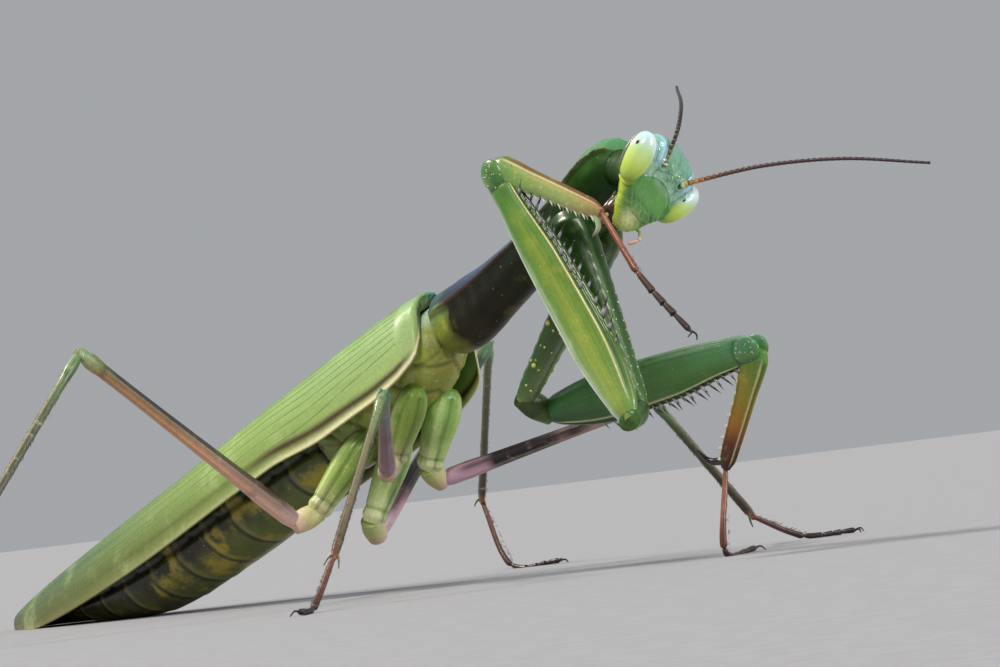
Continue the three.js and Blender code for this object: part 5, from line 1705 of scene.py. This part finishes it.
# %% Plant the spines
def on_limb(start, end, up, stations, t, angle, depth=0.0):
    """Points of a limb's surface at shares t and one angle, sunk by a depth."""
    t = np.atleast_1d(np.asarray(t, float))
    middle = start + t[:, None] * (end - start)
    axis = unit(end - start)
    side = unit(np.cross(axis, up))
    back = np.cross(side, axis)
    a = np.radians(angle)
    wide, high = flow(stations, t, 1) - depth, flow(stations, t, 2) - depth
    lift = flow(stations, t, 3)
    return (middle + side * (wide * np.sin(a))[:, None] + back * (lift + high * np.cos(a))[:, None],
            side * np.sin(a) + back * np.cos(a))


spine_horn = cuticle(
    "spine_horn_lilac", "-1: 0 #6f7a5c, 0.15 #948c98, 0.32 #a49aa8, 0.48 #3a3236, 0.6 #15110f, 1 #0c0a0a",
    roughness=0.25, coat=0.3, glow=0.08, wander=0.01)
pale_spine_horn = cuticle("spine_horn_pearl", "-1: 0 #c9c79a, 0.4 #ecebdc, 0.8 #e9e2cc, 1 #8a6a48",
    roughness=0.22, coat=0.3, glow=0.15, wander=0.01)


def plant(name, rows, material, thickness, slot):
    """rows: (points, aims, sizes in mm)."""
    points = np.vstack([r[0] for r in rows])
    aims = np.vstack([np.broadcast_to(r[1], r[0].shape) for r in rows])
    sizes = np.concatenate([np.broadcast_to(r[2], len(r[0])) for r in rows]) * MM
    seeds = guide(f"{name}_roots", points, aim=aims, size=sizes)
    grow(name, spine_tree, seeds, material, slot=slot, Thickness=thickness)


FEMUR_ROW_COUNT = 15
# number, length in mm and slenderness of the tibia's spines
TIBIA_ROWS = {"right": (12, 0.36, 0.22), "left": (10, 0.40, 0.34)}
for leg in FORE_LEGS:
    lean = unit(-0.78 * leg.dorsal + 0.55 * leg.thigh_axis)
    rows = []
    for angle, splay in ((152, 0.22), (-152, -0.22)):
        t = np.linspace(0.46, 0.93, FEMUR_ROW_COUNT)
        roots, _ = on_limb(leg.hinge, leg.knee, leg.dorsal, FORE_FEMUR, t, angle, 0.1)
        swell = 0.85 + 0.3 * np.sin(np.pi * (t - 0.36) / 0.6)
        long_short = np.where(np.arange(FEMUR_ROW_COUNT) % 2 == 0, 0.9, 0.52) * swell
        rows.append((roots, unit(lean + splay * leg.across), long_short))
    t = np.array([0.24, 0.29, 0.34, 0.39])
    roots, _ = on_limb(leg.hinge, leg.knee, leg.dorsal, FORE_FEMUR, t, 174, 0.1)
    rows.append((roots, lean, np.array([0.6, 0.85, 1.15, 0.9])))
    plant(f"femur_spines_{leg.side_name}", rows, spine_horn, 0.11, "leaf_green")
    count, length, thickness = TIBIA_ROWS[leg.side_name]
    lean = unit(-0.7 * leg.shin_dorsal + 0.6 * leg.shin_axis)
    rows = []
    for angle in (154, -154):
        t = np.linspace(0.12, 0.94, count)
        roots, _ = on_limb(leg.knee, leg.ankle, leg.shin_dorsal, FORE_TIBIA, t, angle, 0.06)
        rows.append((roots, lean, length * (0.8 + 0.4 * t)))
    plant(f"tibia_spines_{leg.side_name}", rows, pale_spine_horn, thickness, "leaf_green")

# %% [markdown]
# ## Warts
# The edges of the fore hips and the knee lobes are set with pale beads, which the fingers
# feel as a file. They are low domes, a few dozen faces each, and a second small tree sets
# them, with a random size from a fixed seed.

# %% Build the wart tree
wart_tree, entry = new_tree("warts", Radius=0.00008, Spread=0.3, Seed=7)
bead = result(wart_tree, "GeometryNodeMeshUVSphere", {"Segments": 8, "Rings": 5, "Radius": 1.0})
_, _, height = split(wart_tree, result(wart_tree, "GeometryNodeInputPosition"))
charted = stored(wart_tree, bead, "chart", triple(wart_tree, 0.5, 0.0, height))
least = reckoned(wart_tree, "SUBTRACT", 1.0, entry["Spread"])
most = reckoned(wart_tree, "ADD", 1.0, entry["Spread"])
chance = result(wart_tree, "FunctionNodeRandomValue", {2: least, 3: most, "Seed": entry["Seed"]}, 1,
                data_type="FLOAT")
wide = reckoned(wart_tree, "MULTIPLY", guide_value(wart_tree, "size", "FLOAT"), chance)
radius = reckoned(wart_tree, "MULTIPLY", wide, entry["Radius"])
close_tree(wart_tree, entry, set_on_points(wart_tree, entry["Geometry"], charted, Scale=radius))

# %% Set the warts
WART_FINISH = {"roughness": 0.25, "coat": 0.4, "glow": 0.1}
wart_white = cuticle("cuticle_wart_white", """
    -1: 0 #8fa87c, 1 #8fa87c
    0.6: 0 #c6d0b4, 1 #c6d0b4""",
    **WART_FINISH)
wart_yellow = cuticle("cuticle_wart_yellow", """
    -1: 0 #b4b04c, 1 #b4b04c
    0.6: 0 #dcd87c, 1 #dcd87c""",
    **WART_FINISH)


def set_beads(name, points, sizes, radius, material, slot, seed):
    seeds = guide(f"{name}_places", points, size=np.broadcast_to(sizes, len(points)).copy())
    grow(name, wart_tree, seeds, material, slot=slot, Radius=radius * MM, Spread=0.35, Seed=seed)


def coxa_rows(leg, angles_and_counts, first, last, depth):
    """Rows of points along a fore coxa."""
    return np.vstack([on_limb(leg.hip, leg.knuckle, leg.dorsal, FORE_COXA[leg.side_name],
                              np.linspace(first, last, count), angle, depth)[0]
                      for angle, count in angles_and_counts])


SPECKS = 18
scatter = np.random.default_rng(11)
for leg in FORE_LEGS:
    warts = coxa_rows(leg, ((158, 12), (-158, 12), (16, 11), (-16, 11)), 0.45, 0.95, 0.02)
    if leg.side > 0:
        dots = coxa_rows(leg, [(angle, 7) for angle in (60, 95, 130, -60, -95, -130)], 0.25, 0.9, 0.03)
        dots = dots + scatter.normal(0, 0.08, dots.shape)
        sizes = scatter.uniform(0.6, 1.6, len(dots))
        set_beads("coxa_dots_left", dots, sizes, 0.085, wart_yellow, "deep_green", 3)
    set_beads(f"coxa_warts_{leg.side_name}", warts, 1.0, 0.06, wart_white, "deep_green", 5)
    specks = []
    for turn in (-1, 1):
        centre = lobe_centre(leg, turn, *FORE_LOBE)
        a = scatter.uniform(0, 2 * np.pi, SPECKS)
        r = np.sqrt(scatter.uniform(0.02, 0.8, SPECKS))
        bulge = LOBE_THICKNESS * FORE_LOBE[0] * np.sqrt(1 - r ** 2)
        specks.append(centre + leg.across * turn * bulge[:, None]
                      + leg.thigh_axis * (FORE_LOBE[1] * r * np.cos(a))[:, None]
                      + leg.dorsal * (0.70 * r * np.sin(a))[:, None])
    set_beads(f"knee_specks_{leg.side_name}", np.vstack(specks), 1.0, 0.038, wart_white, "leaf_green", 9)

# %% [markdown]
# ## Bristles
# Fine bristles stand on the walking legs and the feet, a fraction of a millimetre long and
# leaning to the foot. They are the only coat of the animal: thin three-sided cones of
# solid mesh, in the colours of the limb under them. Each one also keeps a place on the map
# OFBake: a patch 0.003 across at its root's place on the unrolled limb.

# %% Build the bristle tree
PATCH = 0.003
bristle_tree, entry = new_tree("bristles", Thickness=0.00002)
hair = node(bristle_tree, "GeometryNodeMeshCone", {
    "Vertices": 3, "Side Segments": 1, "Radius Top": 0.1, "Radius Bottom": 1.0, "Depth": 1.0}).outputs
mapped_hair = stored(bristle_tree, hair["Mesh"], "tuft_patch", hair["UV Map"], domain="CORNER")
length = guide_value(bristle_tree, "size", "FLOAT")
coat = set_on_points(bristle_tree, entry["Geometry"], mapped_hair,
                     Rotation=aimed(bristle_tree, guide_value(bristle_tree, "aim")),
                     Scale=triple(bristle_tree, entry["Thickness"], entry["Thickness"], length))
place = result(bristle_tree, "ShaderNodeVectorMath", {
    0: guide_value(bristle_tree, "tuft_patch"), 1: (PATCH, PATCH, 0.0),
    2: guide_value(bristle_tree, "unrolled")}, operation="MULTIPLY_ADD")
close_tree(bristle_tree, entry, stored(bristle_tree, coat, "OFBake", place, "FLOAT2", "CORNER"))

# %% Grow the bristles
BRISTLE_RADIUS = 0.016
FLOOR_ROOM = 0.05  # keeps a bristle's root and tip above the floor
FOOT_SECTION = [(0, 0.14, 0.14), (1, 0.2, 0.18)]


def bristles(name, start, end, up, stations, count, length, material, slot, lean=0.7):
    t = scatter.uniform(0.08, 0.98, count)
    angle = scatter.uniform(-180, 180, count)
    surface = [on_limb(start, end, up, stations, share, turn, 0.02) for share, turn in zip(t, angle)]
    roots = np.array([point[0] for point, _ in surface])
    outward = np.array([away for _, away in surface])
    aims = outward * (1 - lean) + unit(end - start) * lean + scatter.normal(0, 0.12, (count, 3))
    lengths = length * scatter.uniform(0.6, 1.25, count)
    aims = aims / np.linalg.norm(aims, axis=1)[:, None]
    roots[:, 2] = np.maximum(roots[:, 2], FLOOR_ROOM + np.maximum(-aims[:, 2], 0) * lengths)
    chart = np.stack([t, np.sin(np.radians(angle)), np.cos(np.radians(angle))], 1)
    unrolled = np.stack([(angle / 360 + 0.5) * (1 - PATCH), t * (1 - PATCH), 0 * t], 1)
    seeds = guide(f"{name}_roots", roots, aim=aims, size=lengths * MM, chart=chart, unrolled=unrolled)
    grow(name, bristle_tree, seeds, material, slot=slot, Thickness=BRISTLE_RADIUS * MM)


def foot_bristles(leg, name, count, length):
    bristles(f"bristles_foot_{name}", leg.ankle, leg.instep, FOOT_UP, FOOT_SECTION, count, length,
             foot_cuticle, "dark_brown")


for leg in WALKING_LEGS:
    name = f"{leg.pair}_{leg.side_name}"
    bristles(f"bristles_shin_{name}", leg.knee, leg.ankle, leg.shin_dorsal, WALK_TIBIA, 420, 0.26,
             walking_tibia_cuticle, "rose_brown")
    bristles(f"bristles_thigh_{name}", leg.hinge, leg.knee, leg.dorsal, WALK_FEMUR, 220, 0.16,
             walking_femur_cuticle[name], "rose_brown", lean=0.8)
    foot_bristles(leg, name, 120, 0.2)
for leg in FORE_LEGS:
    foot_bristles(leg, f"fore_{leg.side_name}", 110, 0.15)
